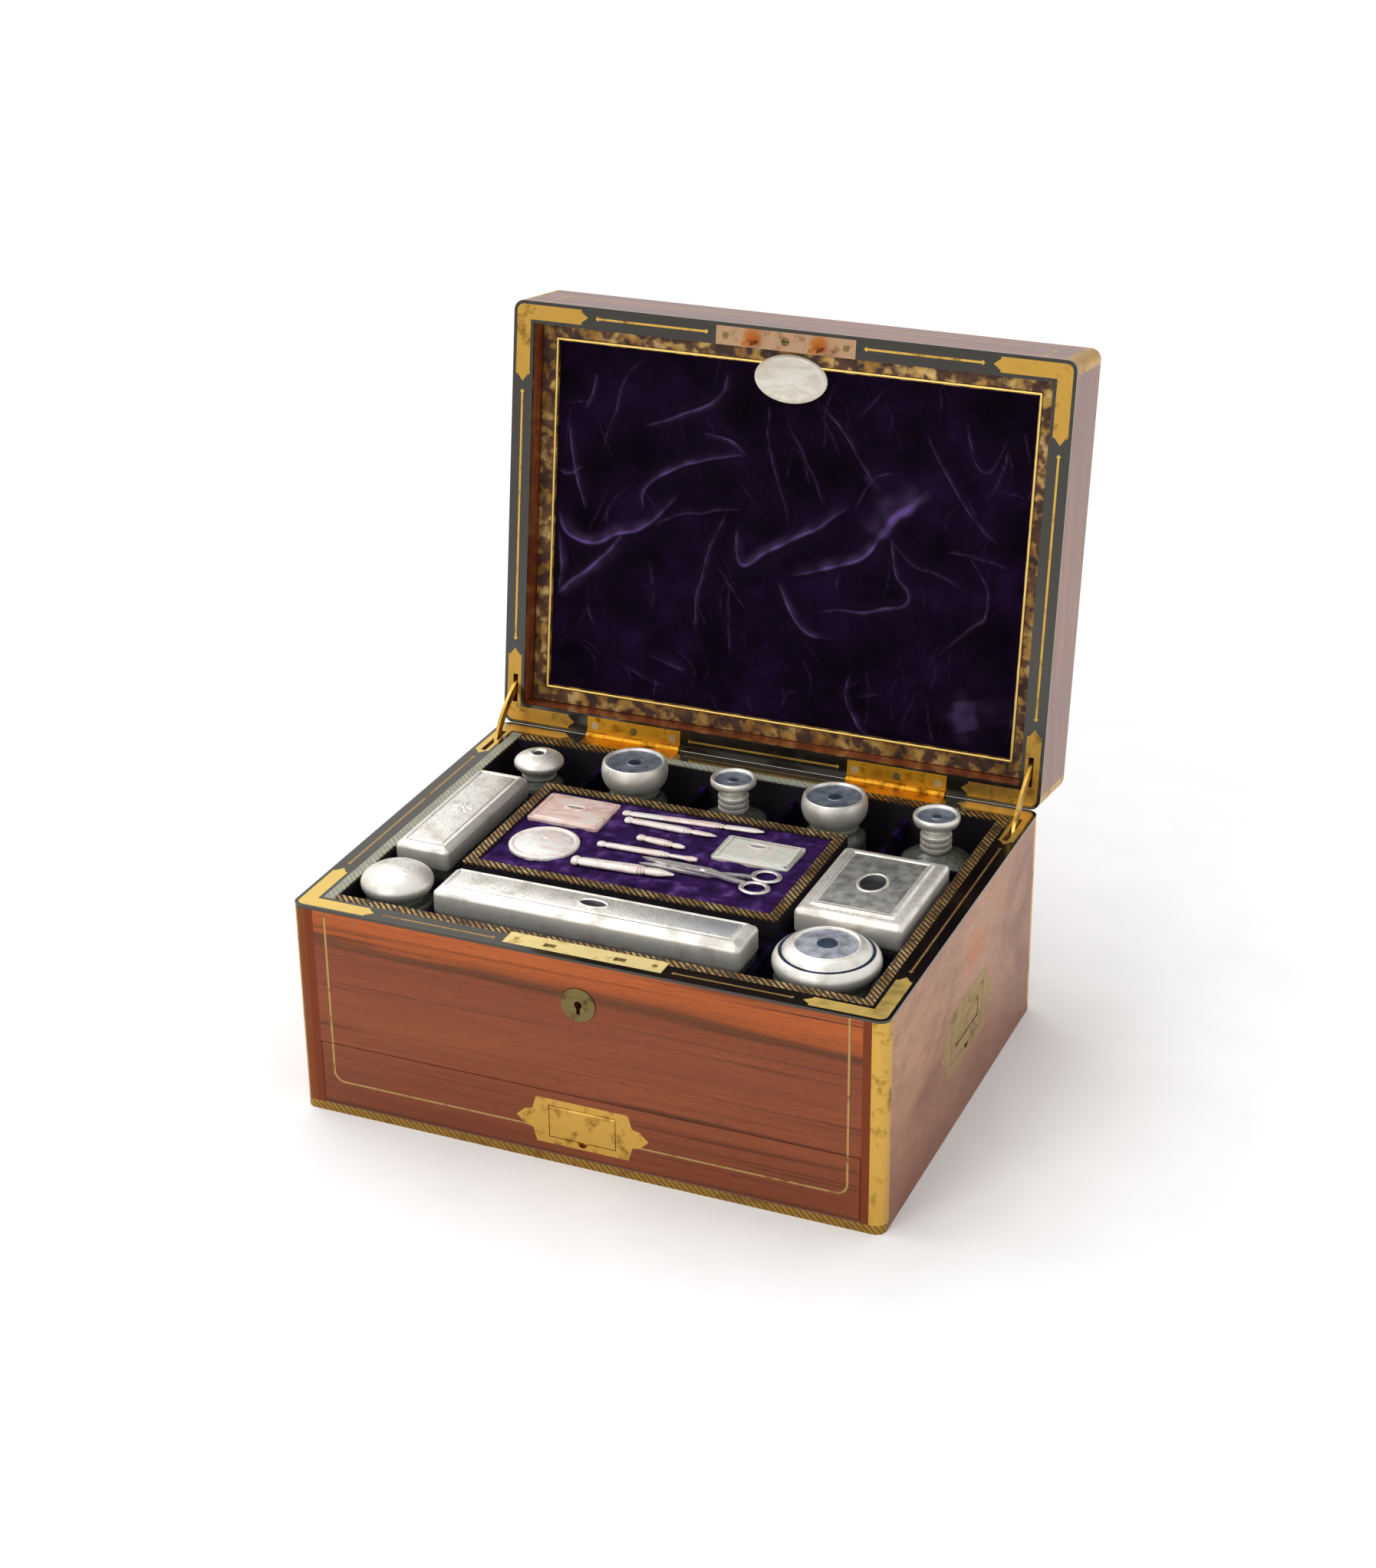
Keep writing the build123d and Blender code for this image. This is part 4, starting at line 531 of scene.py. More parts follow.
def settle(piece, body, slot, *materials, replaces=()):
    """Give a piece its finishes and its body, and hide the CAD nodes that it stands for; its slot is not
    used.
    """
    if materials:
        while len(piece.data.materials) < len(materials):
            piece.data.materials.append(None)
        for i, material in enumerate(materials):
            piece.data.materials[i] = bpy.data.materials[material]
    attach(piece, body)
    if replaces:
        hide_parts(*replaces)
    return piece


def zone(piece, index, wanted):
    """Give the faces for which wanted is true another of the piece's materials."""
    while len(piece.data.materials) <= index:
        piece.data.materials.append(None)
    for face in piece.data.polygons:
        if wanted(face):
            face.material_index = index


def dress(node, material, edge=0.0):
    """Finish a CAD node as it is, its sharp edges eased by a live bevel."""
    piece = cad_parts[node]
    piece.data.materials.clear()
    piece.data.materials.append(bpy.data.materials[material])
    if edge:
        piece.modifiers.new("Merge", "WELD").merge_threshold = WELD_WITHIN * MM
        bevel = piece.modifiers.new("Ease", "BEVEL")
        bevel.width = edge * MM
        bevel.segments = 2
        bevel.limit_method = "ANGLE"
        bevel.angle_limit = math.radians(EASED_ANGLE)
        piece.modifiers.new("Weigh", "WEIGHTED_NORMAL").keep_sharp = True


def middle(node):
    """Centre of a node's box in x and y, and its lowest and highest z."""
    low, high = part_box(node)
    return (low.x + high.x) / 2, (low.y + high.y) / 2, low.z, high.z


def arc(r, z, wide, tall, start, end, steps):
    """Profile points round an ellipse, from one angle to another in degrees."""
    points = []
    for i in range(steps + 1):
        a = math.radians(start + (end - start) * i / steps)
        points.append((r + wide * math.cos(a), z + tall * math.sin(a)))
    return points


def turned(name, profile, centre=(0, 0), steps=72):
    """Turn a profile of (radius, height) in metres: a ring drawn up and in or out for each step."""
    (r, z), *rest = profile
    begin("circle", name, (centre[0], centre[1], z), vertices=steps, radius=r)
    for radius, height in rest:
        bpy.ops.mesh.extrude_region_move(TRANSFORM_OT_translate={"value": (0, 0, height - z)})
        radius = max(radius, TIP_R * MM)
        share = radius / r
        bpy.ops.transform.resize(value=(share, share, 1), center_override=(centre[0], centre[1], height))
        r, z = radius, height
    bpy.ops.mesh.edge_face_add()
    return close()


def mm(points):
    """Profile points given in mm."""
    return [(r * MM, z * MM) for r, z in points]


def open_lid_matrix():
    """Carries a shape from the shut lid to the open one."""
    return (Matrix.Translation(HINGE) @ Matrix.Rotation(LID_TURN, 4, "X")
            @ Matrix.Translation(-HINGE))


def shut_box(node):
    """A lid node's lowest and highest corner as when the lid is shut."""
    shut = open_lid_matrix().inverted()
    places = [shut @ v.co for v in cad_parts[node].data.vertices]
    return (Vector([min(p[i] for p in places) for i in range(3)]),
            Vector([max(p[i] for p in places) for i in range(3)]))


# ---- shapes of the silver tops, in mm: radius, height above the top's lower edge -----------------
def bun_profile(r, high):
    """Flattened ball on a narrow ringed foot, with a small sunk plate in its crown."""
    return ([(r - 5.4, 0.0), (r - 4.6, 0.3), (r - 4.6, 1.4), (r - 5.6, 2.0)]
            + arc(0.0, 8.6, r, 6.2, -52, 64, 20)
            + [(5.4, high - 0.5), (4.6, high - 0.2), (3.8, high - 0.5), (3.2, high - 1.2),
               (0.0, high - 1.2)])


def bowl_profile(r, high):
    """Bowl that swells from a narrow foot up to a rolled rim, with a dished plate set inside the rim."""
    return ([(r - 6.0, 0.0), (r - 5.2, 0.3), (r - 5.0, 1.6), (r - 5.6, 2.2), (r - 4.8, 3.4)]
            + arc(r - 9.0, 14.0, 9.0, 11.6, -62, 28, 14)
            + [(r - 1.3, high - 0.5), (r - 1.9, high - 0.1), (r - 2.6, high - 0.2), (r - 3.1, high - 0.9),
               (r - 3.3, high - 1.5), (r - 8.4, high - 1.9), (4.3, high - 1.9), (3.8, high - 1.5),
               (0.0, high - 1.3)])


def spool_profile(r, high):
    """Stopper like a spool: three rings, a flare that widens to a rolled rim, a dished plate inside it."""
    rings = [(r - 4.4 + swell, ring * 3.4 + height) for ring in range(3)
             for swell, height in ((-1.3, 0.0), (0.0, 0.6), (0.2, 1.5), (0.0, 2.4), (-1.3, 3.0))]
    return ([(r - 5.4, 0.0)] + rings
            + [(r - 5.2, 10.6), (r - 5.1, 11.4), (r - 4.3, 12.8), (r - 2.7, 14.4), (r - 1.0, 15.6)]
            + arc(r - 1.0, high - 2.2, 1.0, 2.2, -50, 84, 8)
            + [(r - 1.6, high - 0.1), (r - 2.2, high - 0.7), (r - 2.5, high - 1.6), (r - 5.0, high - 2.0),
               (3.3, high - 2.0), (2.8, high - 1.6), (0.0, high - 1.4)])


def dome_profile(r, high):
    """Ball drawn in to a narrow collar, so that it stands clear of the glass."""
    return ([(r * 0.64, 0.0), (r * 0.70, 0.4)]
            + arc(0.0, 9.4, r, 9.5, -46, 80, 26)
            + [(2.4, high - 0.1), (0.0, high)])


def drum_profile(r, high):
    """Full round drum, a dark groove, a domed shoulder and a wide sunk plate in its crown."""
    return ([(r - 5.6, 0.0), (r - 4.6, 0.3)]
            + arc(r - 9.0, 7.6, 9.0, 7.4, -60, 46, 18)
            + [(r - 3.2, 13.2), (r - 3.9, 12.5), (r - 4.7, 12.5), (r - 5.0, 13.4)]
            + arc(r - 14.0, 11.6, 9.4, 6.0, 26, 68, 10)
            + [(r - 10.4, high - 0.6), (r - 11.0, high - 0.3), (r - 11.6, high - 0.6),
               (r - 12.0, high - 1.2), (5.4, high - 0.8), (5.0, high - 0.4), (0.0, high - 0.3)])


# Each round top's profile, its plate's radius inside the top's, and the radius of the plate's centre.
ROUND_TOPS = {"dome_bottle": (bun_profile, 10.8, 3.3), "left_jar": (bowl_profile, 3.0, 3.9),
              "middle_bottle": (spool_profile, 2.3, 2.9), "right_jar": (bowl_profile, 3.0, 3.9),
              "right_bottle": (spool_profile, 2.3, 2.9), "front_left_jar": (dome_profile, 99.0, 0.0),
              "front_right_jar": (drum_profile, 11.8, 5.2)}
GROOVE_IN = (3.5, 5.1)      # the drum's groove, in from its widest, drawn dark as painted shade
PLATE_DEEP = 3.4            # plates lie no deeper than this below a top's crown
SPUN_THICK = 0.8            # thickness of the spun tops
CAST_THICK = 1.0            # thickness of the boxes' tops
PANEL_SHARE = 0.4           # a box top's panel is more than this share of it


def silver_tops():
    """The seven round tops, each spun from one sheet and hollow underneath."""
    for name, (profile, plate_in, spot) in ROUND_TOPS.items():
        node = f"{name}_top"
        x, y, low, high = middle(node)
        r = (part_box(node)[1].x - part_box(node)[0].x) / 2 / MM
        points = [(radius, height + low / MM) for radius, height in profile(r, (high - low) / MM)]
        top = turned(f"{name}_silver_top", mm(points), (x, y), 96 if r > 18 else 72)
        finish_with(top, "SOLIDIFY", thickness=SPUN_THICK * MM, offset=-1.0)

        def within(face, outer, inner=0.0):
            away = math.hypot(face.center.x - x, face.center.y - y)
            return inner * MM <= away < outer * MM

        # Painted reflection of the dark lid: the sunk plate is drawn blue-grey, its centre darker.
        zone(top, 1, lambda face: face.center.z > high - PLATE_DEEP * MM and face.normal.z > 0.7
             and within(face, r - plate_in))
        zone(top, 2, lambda face: face.center.z > high - PLATE_DEEP * MM and face.normal.z > 0.7
             and within(face, spot))
        # Painted shade: the drum's groove is drawn dark.
        if profile is drum_profile:
            zone(top, 2, lambda face: face.center.z < high - PLATE_DEEP * MM and face.normal.z > -0.9
                 and face.center.z > low + 12 * MM and within(face, r - GROOVE_IN[0], r - GROOVE_IN[1]))
        plate_finish = "pale_oxidised_silver" if profile is drum_profile else "oxidised_silver"
        spot_finish = "blackened_silver" if profile is bun_profile else "blued_silver"
        settle(top, f"{name}_lid", "silver", "engraved_silver", plate_finish, spot_finish, replaces=[node])


def box_top(name, steps, panel):
    """A rectangular silver lid: rounded corners, a chamfered edge, a panel let in or raised in steps."""
    node = f"{name}_top"
    low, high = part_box(node)
    heights = [sum(step[1] for step in steps[:i]) * MM for i in range(len(steps) + 1)]
    size = Vector((high.x - low.x, high.y - low.y, high.z - max(heights) - low.z))
    x, y = (low.x + high.x) / 2, (low.y + high.y) / 2
    top = begin("cube", f"{name}_silver_top", (x, y, low.z + size.z / 2), size=1.0, scale=size)
    pick("edges", lambda edge: abs(edge.verts[0].co.z - edge.verts[1].co.z) > size.z / 2)
    bpy.ops.mesh.bevel(offset=3.0 * MM, segments=5, affect="EDGES")
    pick("faces", lambda face: face.normal.z < -0.9)
    bpy.ops.mesh.delete(type="FACE")
    pick("faces", lambda face: face.normal.z > 0.9)
    wide, deep = size.x, size.y
    for step_in, up in steps:
        extrude(z=up)
        narrowed = (1 - 2 * step_in * MM / wide, 1 - 2 * step_in * MM / deep, 1.0)
        bpy.ops.transform.resize(value=narrowed, center_override=(x, y, 0))
        wide, deep = wide * narrowed[0], deep * narrowed[1]
    close(30.0, outward=False)
    finish_with(top, "SOLIDIFY", thickness=CAST_THICK * MM, offset=-1.0)
    # The panel takes the given finish: on the long and right boxes a painted reflection of the dark lid.
    zone(top, 1, lambda face: face.normal.z > 0.95 and face.area > PANEL_SHARE * size.x * size.y)
    settle(top, f"{name}_lid", "silver", "engraved_silver", panel, replaces=[node])
    return x, y, low.z + size.z + heights[-1]


def cartouche(name, body, place, half_x, half_y, slot="silver",
              finishes=("engraved_silver", "blackened_silver")):
    """A small raised oval plate left blank, with a corded edge."""
    plate = oval(name, place, half_x * MM, half_y * MM, 64)
    extrude(z=0.35)
    inset((0.5, 0.25), (0.8, 0.0), (0.5, -0.4))
    close(40.0)
    # The sunk field takes the second finish: on the silver boxes it is drawn dark as painted reflection.
    zone(plate, 1, lambda face: face.normal.z > 0.9 and face.center.z < place[2] + 0.3 * MM)
    return settle(plate, body, slot, *finishes)


def rosette(name, body, place, petals, r):
    """A flower chased in low relief: a ring of petals round a boss."""
    parts = []
    for i in range(petals + 1):
        away = 0.62 * r if i < petals else 0.0
        turn = 2 * math.pi * i / petals
        half_x, half_y = (0.36 * r, 0.2 * r) if i < petals else (0.22 * r, 0.22 * r)
        centre = (place[0] + away * math.cos(turn) * MM, place[1] + away * math.sin(turn) * MM, place[2])
        part = oval(f"{name}_{i}", (0, 0, 0), half_x * MM, half_y * MM, 20)
        extrude(z=0.15)
        inset((0.1 * r, 0.3), (0.04 * r, -0.1))
        close(50.0)
        move(part, Matrix.Translation(centre) @ Matrix.Rotation(turn, 4, "Z"))
        parts.append(part)
    return settle(join(parts, name), body, "silver", "engraved_silver")


# Seats of the screws, mm: a hinge's middle and its outer screws, its row behind the leaf's front edge,
# a plate's screws in from its ends, and the strike plate's row along y with the lid shut.
HINGE_X = 81.0
HINGE_SCREW_X = 24.7
HINGE_SCREW_IN = 5.25
PLATE_SCREW_IN = 5.6
STRIKE_ROW = -117.8
# The rim's screws stand lower than half of the gap between the shut lid and the case.
RIM_PROUD = 0.08
SLOT_FLOOR = 0.03       # how far a slot's floor stands above the plate


def screw_heads(name, body, finish, r, seats, proud=0.22):
    """Slotted countersunk heads. Each seat: place (a lid's as when shut), outward way, slot's turn."""
    carry = open_lid_matrix() if body == "lid" else Matrix()
    head = begin("circle", name, vertices=28, radius=r * MM, fill_type="NGON")
    for side in (-1, 1):
        bpy.ops.mesh.select_all(action="SELECT")
        bpy.ops.mesh.bisect(plane_co=(0, side * 0.13 * r * MM, 0), plane_no=(0, 1, 0))
    bpy.ops.mesh.select_all(action="SELECT")
    extrude(z=proud)
    pick("faces", lambda face: face.normal.z > 0.9 and face.calc_center_median().z > 0.5 * proud * MM
         and abs(face.calc_center_median().y) < 0.1 * r * MM)
    extrude(z=SLOT_FLOOR - proud)
    close(30.0)
    # Painted shade, with dirt, on the floor of the slot.
    zone(head, 1, lambda face: abs(face.center.y) < 0.11 * r * MM and face.center.z < 0.5 * proud * MM)
    heads = []
    for place, outward, turn in seats:
        twin = copy_of(head, f"{name}_{len(heads)}")
        seat = Vector(outward).to_track_quat("Z", "Y").to_matrix().to_4x4()
        move(twin, carry @ Matrix.Translation(Vector(place) * MM) @ seat
             @ Matrix.Rotation(math.radians(turn), 4, "Z"))
        heads.append(twin)
    bpy.data.objects.remove(head)
    return settle(join(heads, name), body, "aged_brass", finish, "dark_recess")


def handle_web(node):
    """The panel cast inside a carrying bail, sunk behind its bars, with a raised field."""
    low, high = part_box(node)
    side = 1 if low.x > 0 else -1
    size = Vector((1.6 * MM, high.y - low.y - 13.0 * MM, high.z - low.z - 11.0 * MM))
    centre = ((low.x + high.x) / 2 + side * 0.2 * MM, (low.y + high.y) / 2, (low.z + high.z) / 2)
    web = begin("cube", f"{node}_web", centre, size=1.0, scale=size)
    pick("faces", lambda face: face.normal.x * side > 0.9)
    inset((2.2, 0.0), (0.5, 0.5), (0.6, 0.15))
    close(30.0)
    return settle(web, "right_handle" if side > 0 else "left_handle", "brass", "tarnished_brass")


# ---- wallet and tray velvet ----------------------------------------------------------------------
# Folds of the gathered velvet, as shares of the panel from its left and its front (upper, when open) edge.
# Each: how strongly the pile catches the light, how wide the fold is in mm, then its course.
FOLDS = [
    (1.2, 2.2, [(0.01, 0.49), (0.025, 0.545), (0.085, 0.575), (0.15, 0.52), (0.20, 0.505), (0.265, 0.405)]),
    (1.1, 2.0, [(0.15, 0.53), (0.13, 0.575), (0.06, 0.665), (0.015, 0.72)]),
    (0.8, 1.8, [(0.01, 0.545), (0.02, 0.64), (0.015, 0.71)]),
    (1.2, 1.9, [(0.40, 0.475), (0.405, 0.555), (0.42, 0.575), (0.47, 0.515), (0.55, 0.455),
                (0.625, 0.375)]),
    (1.2, 2.0, [(0.53, 0.575), (0.61, 0.535), (0.68, 0.50), (0.71, 0.415), (0.79, 0.30)]),
    (1.1, 6.0, [(0.695, 0.45), (0.73, 0.37), (0.79, 0.31)]),
    (0.9, 1.4, [(0.725, 0.44), (0.735, 0.53), (0.77, 0.58), (0.76, 0.625), (0.68, 0.65), (0.585, 0.665)]),
    (0.6, 0.9, [(0.725, 0.44), (0.77, 0.50), (0.825, 0.52), (0.895, 0.56)]),
    (0.8, 1.2, [(0.38, 0.42), (0.345, 0.52), (0.325, 0.635), (0.32, 0.775)]),
    (0.9, 1.4, [(0.495, 0.60), (0.515, 0.67), (0.55, 0.73), (0.61, 0.745)]),
    (0.9, 1.3, [(0.365, 0.035), (0.355, 0.105), (0.29, 0.16), (0.195, 0.21)]),
    (1.0, 1.3, [(0.195, 0.44), (0.195, 0.385), (0.255, 0.32), (0.36, 0.27), (0.41, 0.255)]),
    (0.8, 1.2, [(0.41, 0.255), (0.385, 0.22), (0.32, 0.21)]),
    (0.6, 0.9, [(0.19, 0.02), (0.14, 0.08), (0.13, 0.17), (0.10, 0.30)]),
    (0.7, 1.0, [(0.083, 0.08), (0.075, 0.13), (0.06, 0.18)]),
    (0.5, 0.8, [(0.01, 0.18), (0.083, 0.155)]),
    (0.9, 1.2, [(0.03, 0.24), (0.04, 0.35), (0.065, 0.47)]),
    (0.8, 1.1, [(0.01, 0.37), (0.03, 0.375), (0.06, 0.35)]),
    (0.5, 0.8, [(0.16, 0.39), (0.13, 0.43), (0.105, 0.50)]),
    (0.4, 0.8, [(0.27, 0.19), (0.28, 0.24)]),
    (0.6, 0.9, [(0.455, 0.11), (0.455, 0.23), (0.485, 0.32), (0.51, 0.44)]),
    (0.6, 0.9, [(0.495, 0.15), (0.54, 0.25), (0.58, 0.37)]),
    (0.7, 1.1, [(0.565, 0.10), (0.62, 0.165), (0.665, 0.265), (0.69, 0.30)]),
    (0.4, 0.8, [(0.575, 0.13), (0.575, 0.21)]),
    (0.5, 0.9, [(0.64, 0.125), (0.665, 0.08), (0.70, 0.02)]),
    (0.7, 1.0, [(0.78, 0.14), (0.825, 0.24), (0.895, 0.365), (0.94, 0.41)]),
    (0.6, 0.9, [(0.86, 0.09), (0.87, 0.165), (0.91, 0.25), (0.945, 0.12)]),
    (0.6, 0.9, [(0.945, 0.155), (0.935, 0.235), (0.91, 0.305)]),
    (0.5, 0.8, [(0.975, 0.105), (0.995, 0.19)]),
    (0.5, 0.8, [(0.93, 0.27), (0.995, 0.285)]),
    (0.5, 0.8, [(0.08, 0.66), (0.08, 0.77), (0.105, 0.815)]),
    (0.5, 0.8, [(0.21, 0.595), (0.225, 0.67), (0.225, 0.765)]),
    (0.6, 0.9, [(0.20, 0.50), (0.265, 0.455), (0.345, 0.425), (0.405, 0.415)]),
    (0.5, 0.8, [(0.36, 0.58), (0.39, 0.635), (0.43, 0.69)]),
    (0.6, 0.9, [(0.385, 0.62), (0.39, 0.73), (0.40, 0.835)]),
    (0.4, 0.8, [(0.40, 0.335), (0.44, 0.41)]),
    (0.6, 0.9, [(0.84, 0.45), (0.92, 0.46), (0.975, 0.48)]),
    (0.7, 1.0, [(0.885, 0.46), (0.93, 0.53), (0.93, 0.62), (0.905, 0.64), (0.84, 0.74)]),
    (0.5, 0.9, [(0.645, 0.37), (0.68, 0.275), (0.72, 0.255)]),
    (0.4, 0.8, [(0.01, 0.86), (0.085, 0.855), (0.13, 0.91)]),
    (0.5, 0.9, [(0.15, 0.905), (0.22, 0.94), (0.255, 0.95)]),
    (0.5, 2.6, [(0.22, 0.87), (0.265, 0.89), (0.30, 0.90)]),
    (0.4, 0.8, [(0.265, 0.83), (0.325, 0.88), (0.325, 0.945)]),
    (0.5, 0.8, [(0.24, 0.93), (0.235, 0.99)]),
    (0.5, 0.8, [(0.36, 0.955), (0.375, 0.995)]),
    (0.5, 0.8, [(0.44, 0.94), (0.455, 0.99)]),
    (0.5, 0.8, [(0.515, 0.905), (0.515, 0.96)]),
    (0.9, 1.2, [(0.655, 0.84), (0.65, 0.915), (0.68, 0.985), (0.70, 1.0)]),
    (0.5, 0.8, [(0.68, 0.895), (0.725, 0.88)]),
    (0.5, 0.8, [(0.57, 0.96), (0.59, 0.99)]),
    (0.62, 20.0, [(0.885, 0.86), (0.895, 0.91), (0.905, 0.95)]),
    (0.35, 7.0, [(0.66, 0.27), (0.70, 0.31)]),
]


def stray_creases():
    """Short faint creases scattered over the panel, most of them near its foot and its sides."""
    chance, creases = random.Random(31), []
    for _ in range(60):
        u, v = chance.random(), 1.0 - chance.random() ** 1.6
        turn, long = chance.uniform(0.9, 2.3), chance.uniform(0.03, 0.09)
        bend = chance.uniform(-0.5, 0.5)
        course = [(u, v), (u + long * 0.6 * math.cos(turn), v - long * math.sin(turn)),
                  (u + long * 1.1 * math.cos(turn + bend), v - 2 * long * math.sin(turn + bend))]
        creases.append((chance.uniform(0.22, 0.5), chance.uniform(0.6, 1.0), course))
    return creases


def eased(course, rounds=2):
    """A course with its corners cut off again and again until it bends softly."""
    for _ in range(rounds):
        cut = [course[0]]
        for start, end in zip(course, course[1:]):
            cut += [start.lerp(end, 0.25), start.lerp(end, 0.75)]
        course = cut + [course[-1]]
    return course


def near_fold(x, y, course):
    """Distances from places to a fold's course, less than 0 on its right, and how far along it they are."""
    best, along = numpy.full(x.shape, 1.0), numpy.zeros(x.shape)
    for i, (start, end) in enumerate(zip(course, course[1:])):
        run = end - start
        share = ((x - start.x) * run.x + (y - start.y) * run.y) / run.length_squared
        share = numpy.clip(share, 0.0, 1.0)
        off_x, off_y = x - start.x - share * run.x, y - start.y - share * run.y
        distance = numpy.copysign(numpy.hypot(off_x, off_y), run.x * off_y - run.y * off_x)
        nearer = abs(distance) < abs(best)
        along = numpy.where(nearer, (i + share) / (len(course) - 1), along)
        best = numpy.where(nearer, distance, best)
    return best, along


def places_of(piece):
    """A piece's points as one row of numbers per axis."""
    places = numpy.empty(3 * len(piece.data.vertices))
    piece.data.vertices.foreach_get("co", places)
    return places.reshape(-1, 3).T


def gathered(x, y, low, high):
    """How high the velvet's folds stand, and the painted light on their pile, at places on the panel."""
    lift, light, haze = numpy.zeros(x.shape), numpy.zeros(x.shape), numpy.zeros(x.shape)
    waver = [numpy.array([noise.noise(Vector((a * 70, b * 70, axis))) for a, b in zip(x, y)]) * 1.3 * MM
             for axis in (0.0, 5.0)]
    broken = numpy.array([noise.noise(Vector((a * 130, b * 130, 9.0))) for a, b in zip(x, y)])
    for strength, wide, course in FOLDS + stray_creases():
        course = eased([Vector((low.x + u * (high.x - low.x), low.y + v * (high.y - low.y)))
                        for u, v in course])
        distance, along = near_fold(x + waver[0], y + waver[1], course)
        taper = numpy.sin(numpy.pi * numpy.clip(along, 0.05, 0.95)) ** 0.5 * strength
        lift = numpy.maximum(lift, taper * numpy.exp(-(distance / (1.6 * wide * MM)) ** 2))
        core = numpy.exp(-(distance / (0.48 * wide * (1.0 + 0.3 * broken) * MM)) ** 2)
        skirt = numpy.where(distance < 0, 0.42, 0.1) * numpy.exp(-(distance / (2.6 * wide * MM)) ** 2)
        light = numpy.maximum(light, taper * (0.9 + 0.5 * broken) * numpy.maximum(core, skirt))
        haze = numpy.maximum(haze, 0.16 * taper * numpy.exp(-(distance / (9.0 * MM)) ** 2))
    return lift, numpy.maximum(light, haze)


# In mm: how far the wallet's velvet is sunk in its frame, its rolls' height, and how far from its edge both
# fade; how far things press the tray's velvet in. Then how much larger than its place each cloth is cut.
VELVET_SUNK, ROLL_HEIGHT, EDGE_FADE, PRESSED_IN = 0.9, 0.9, 5, 0.7
WALLET_GROWTH, TRAY_GROWTH = 0.03, 0.012


def cloth_grid(name, low, high, z, step):
    """A flat grid of cloth between two corners, still in edit mode."""
    cells_x = round((high.x - low.x) / step)
    cells_y = round((high.y - low.y) / step)
    return begin("grid", name, ((low.x + high.x) / 2, (low.y + high.y) / 2, z), x_subdivisions=cells_x,
                 y_subdivisions=cells_y, size=1.0, scale=(high.x - low.x, high.y - low.y, 1.0))


def cloth_area(piece):
    """How much cloth a sheet holds, counted over its triangles."""
    piece.data.calc_loop_triangles()
    return sum(triangle.area for triangle in piece.data.loop_triangles)


def relax(piece, held, growth, frames):
    """Let cloth buckle: it is cut a little larger than its place, and held at the points in a group."""
    group = piece.vertex_groups.new(name="held")
    for index, weight in held.items():
        group.add([index], weight, "REPLACE")
    only(piece)
    modifier = piece.modifiers.new("Cloth", "CLOTH")
    cloth = modifier.settings
    cloth.vertex_group_mass = "held"
    cloth.quality = 5
    cloth.mass = 0.05
    cloth.tension_stiffness = 12
    cloth.compression_stiffness = 12
    cloth.shear_stiffness = 4
    cloth.bending_stiffness = 0.04
    cloth.air_damping = 4
    cloth.shrink_min = -growth
    cloth.effector_weights.gravity = 0.0
    scene = bpy.context.scene
    for step in range(1, frames + 1):
        scene.frame_set(step)
    bpy.ops.object.modifier_apply(modifier="Cloth")
    scene.frame_set(1)
    piece.vertex_groups.clear()


def keep_between(piece, low, high, floor_z, roof_z):
    """Hold a sheet's points between two corners and two heights."""
    for point in piece.data.vertices:
        point.co.z = max(min(point.co.z, roof_z), floor_z)
        point.co.x = max(min(point.co.x, high.x), low.x)
        point.co.y = max(min(point.co.y, high.y), low.y)


def wallet_velvet():
    """The gathered velvet of the lid's wallet, pushed up into loose folds and held at the frame."""
    sizes = bpy.context.scene.dressing_sizes
    low, high = shut_box("wallet_velvet")
    face = low.z + VELVET_SUNK * MM
    velvet_sheet = cloth_grid("wallet_gathered_velvet", low, high, face, sizes.cloth_step)
    bpy.ops.object.mode_set(mode="OBJECT")
    x, y, _ = places_of(velvet_sheet)
    lift = gathered(x, y, low, high)[0]
    held = {}
    for point, fold in zip(velvet_sheet.data.vertices, lift):
        place = Vector((point.co.x, point.co.y, 0))
        edge = min(point.co.x - low.x, high.x - point.co.x, point.co.y - low.y, high.y - point.co.y)
        roll = 0.7 * noise.noise(place * 38) + 0.4 * noise.noise(place * 95)
        raised = sizes.fold_height * fold + ROLL_HEIGHT * MM * roll
        point.co.z = face - min(edge / (EDGE_FADE * MM), 1.0) * raised
        if edge < 0.6 * sizes.cloth_step:
            held[point.index] = 1.0
    relax(velvet_sheet, held, WALLET_GROWTH, 14)
    keep_between(velvet_sheet, low, high, low.z - 1.1 * MM, low.z + 2.0 * MM)
    finish_with(velvet_sheet, "SUBSURF", levels=1, render_levels=1)
    x, y, _ = places_of(velvet_sheet)
    # Store the painted light on the folds on the points.
    crease = velvet_sheet.data.attributes.new("crease", "FLOAT", "POINT")
    crease.data.foreach_set("value", gathered(x, y, low, high)[1])
    only(velvet_sheet)
    bpy.ops.object.mode_set(mode="EDIT")
    bpy.ops.mesh.select_all(action="SELECT")
    bpy.ops.mesh.flip_normals()
    bpy.ops.object.mode_set(mode="OBJECT")
    bpy.ops.object.shade_smooth()
    move(velvet_sheet, open_lid_matrix())
    area = cloth_area(velvet_sheet)
    settle(velvet_sheet, "wallet", "velvet", "gathered_silk_velvet", replaces=["wallet_velvet"])


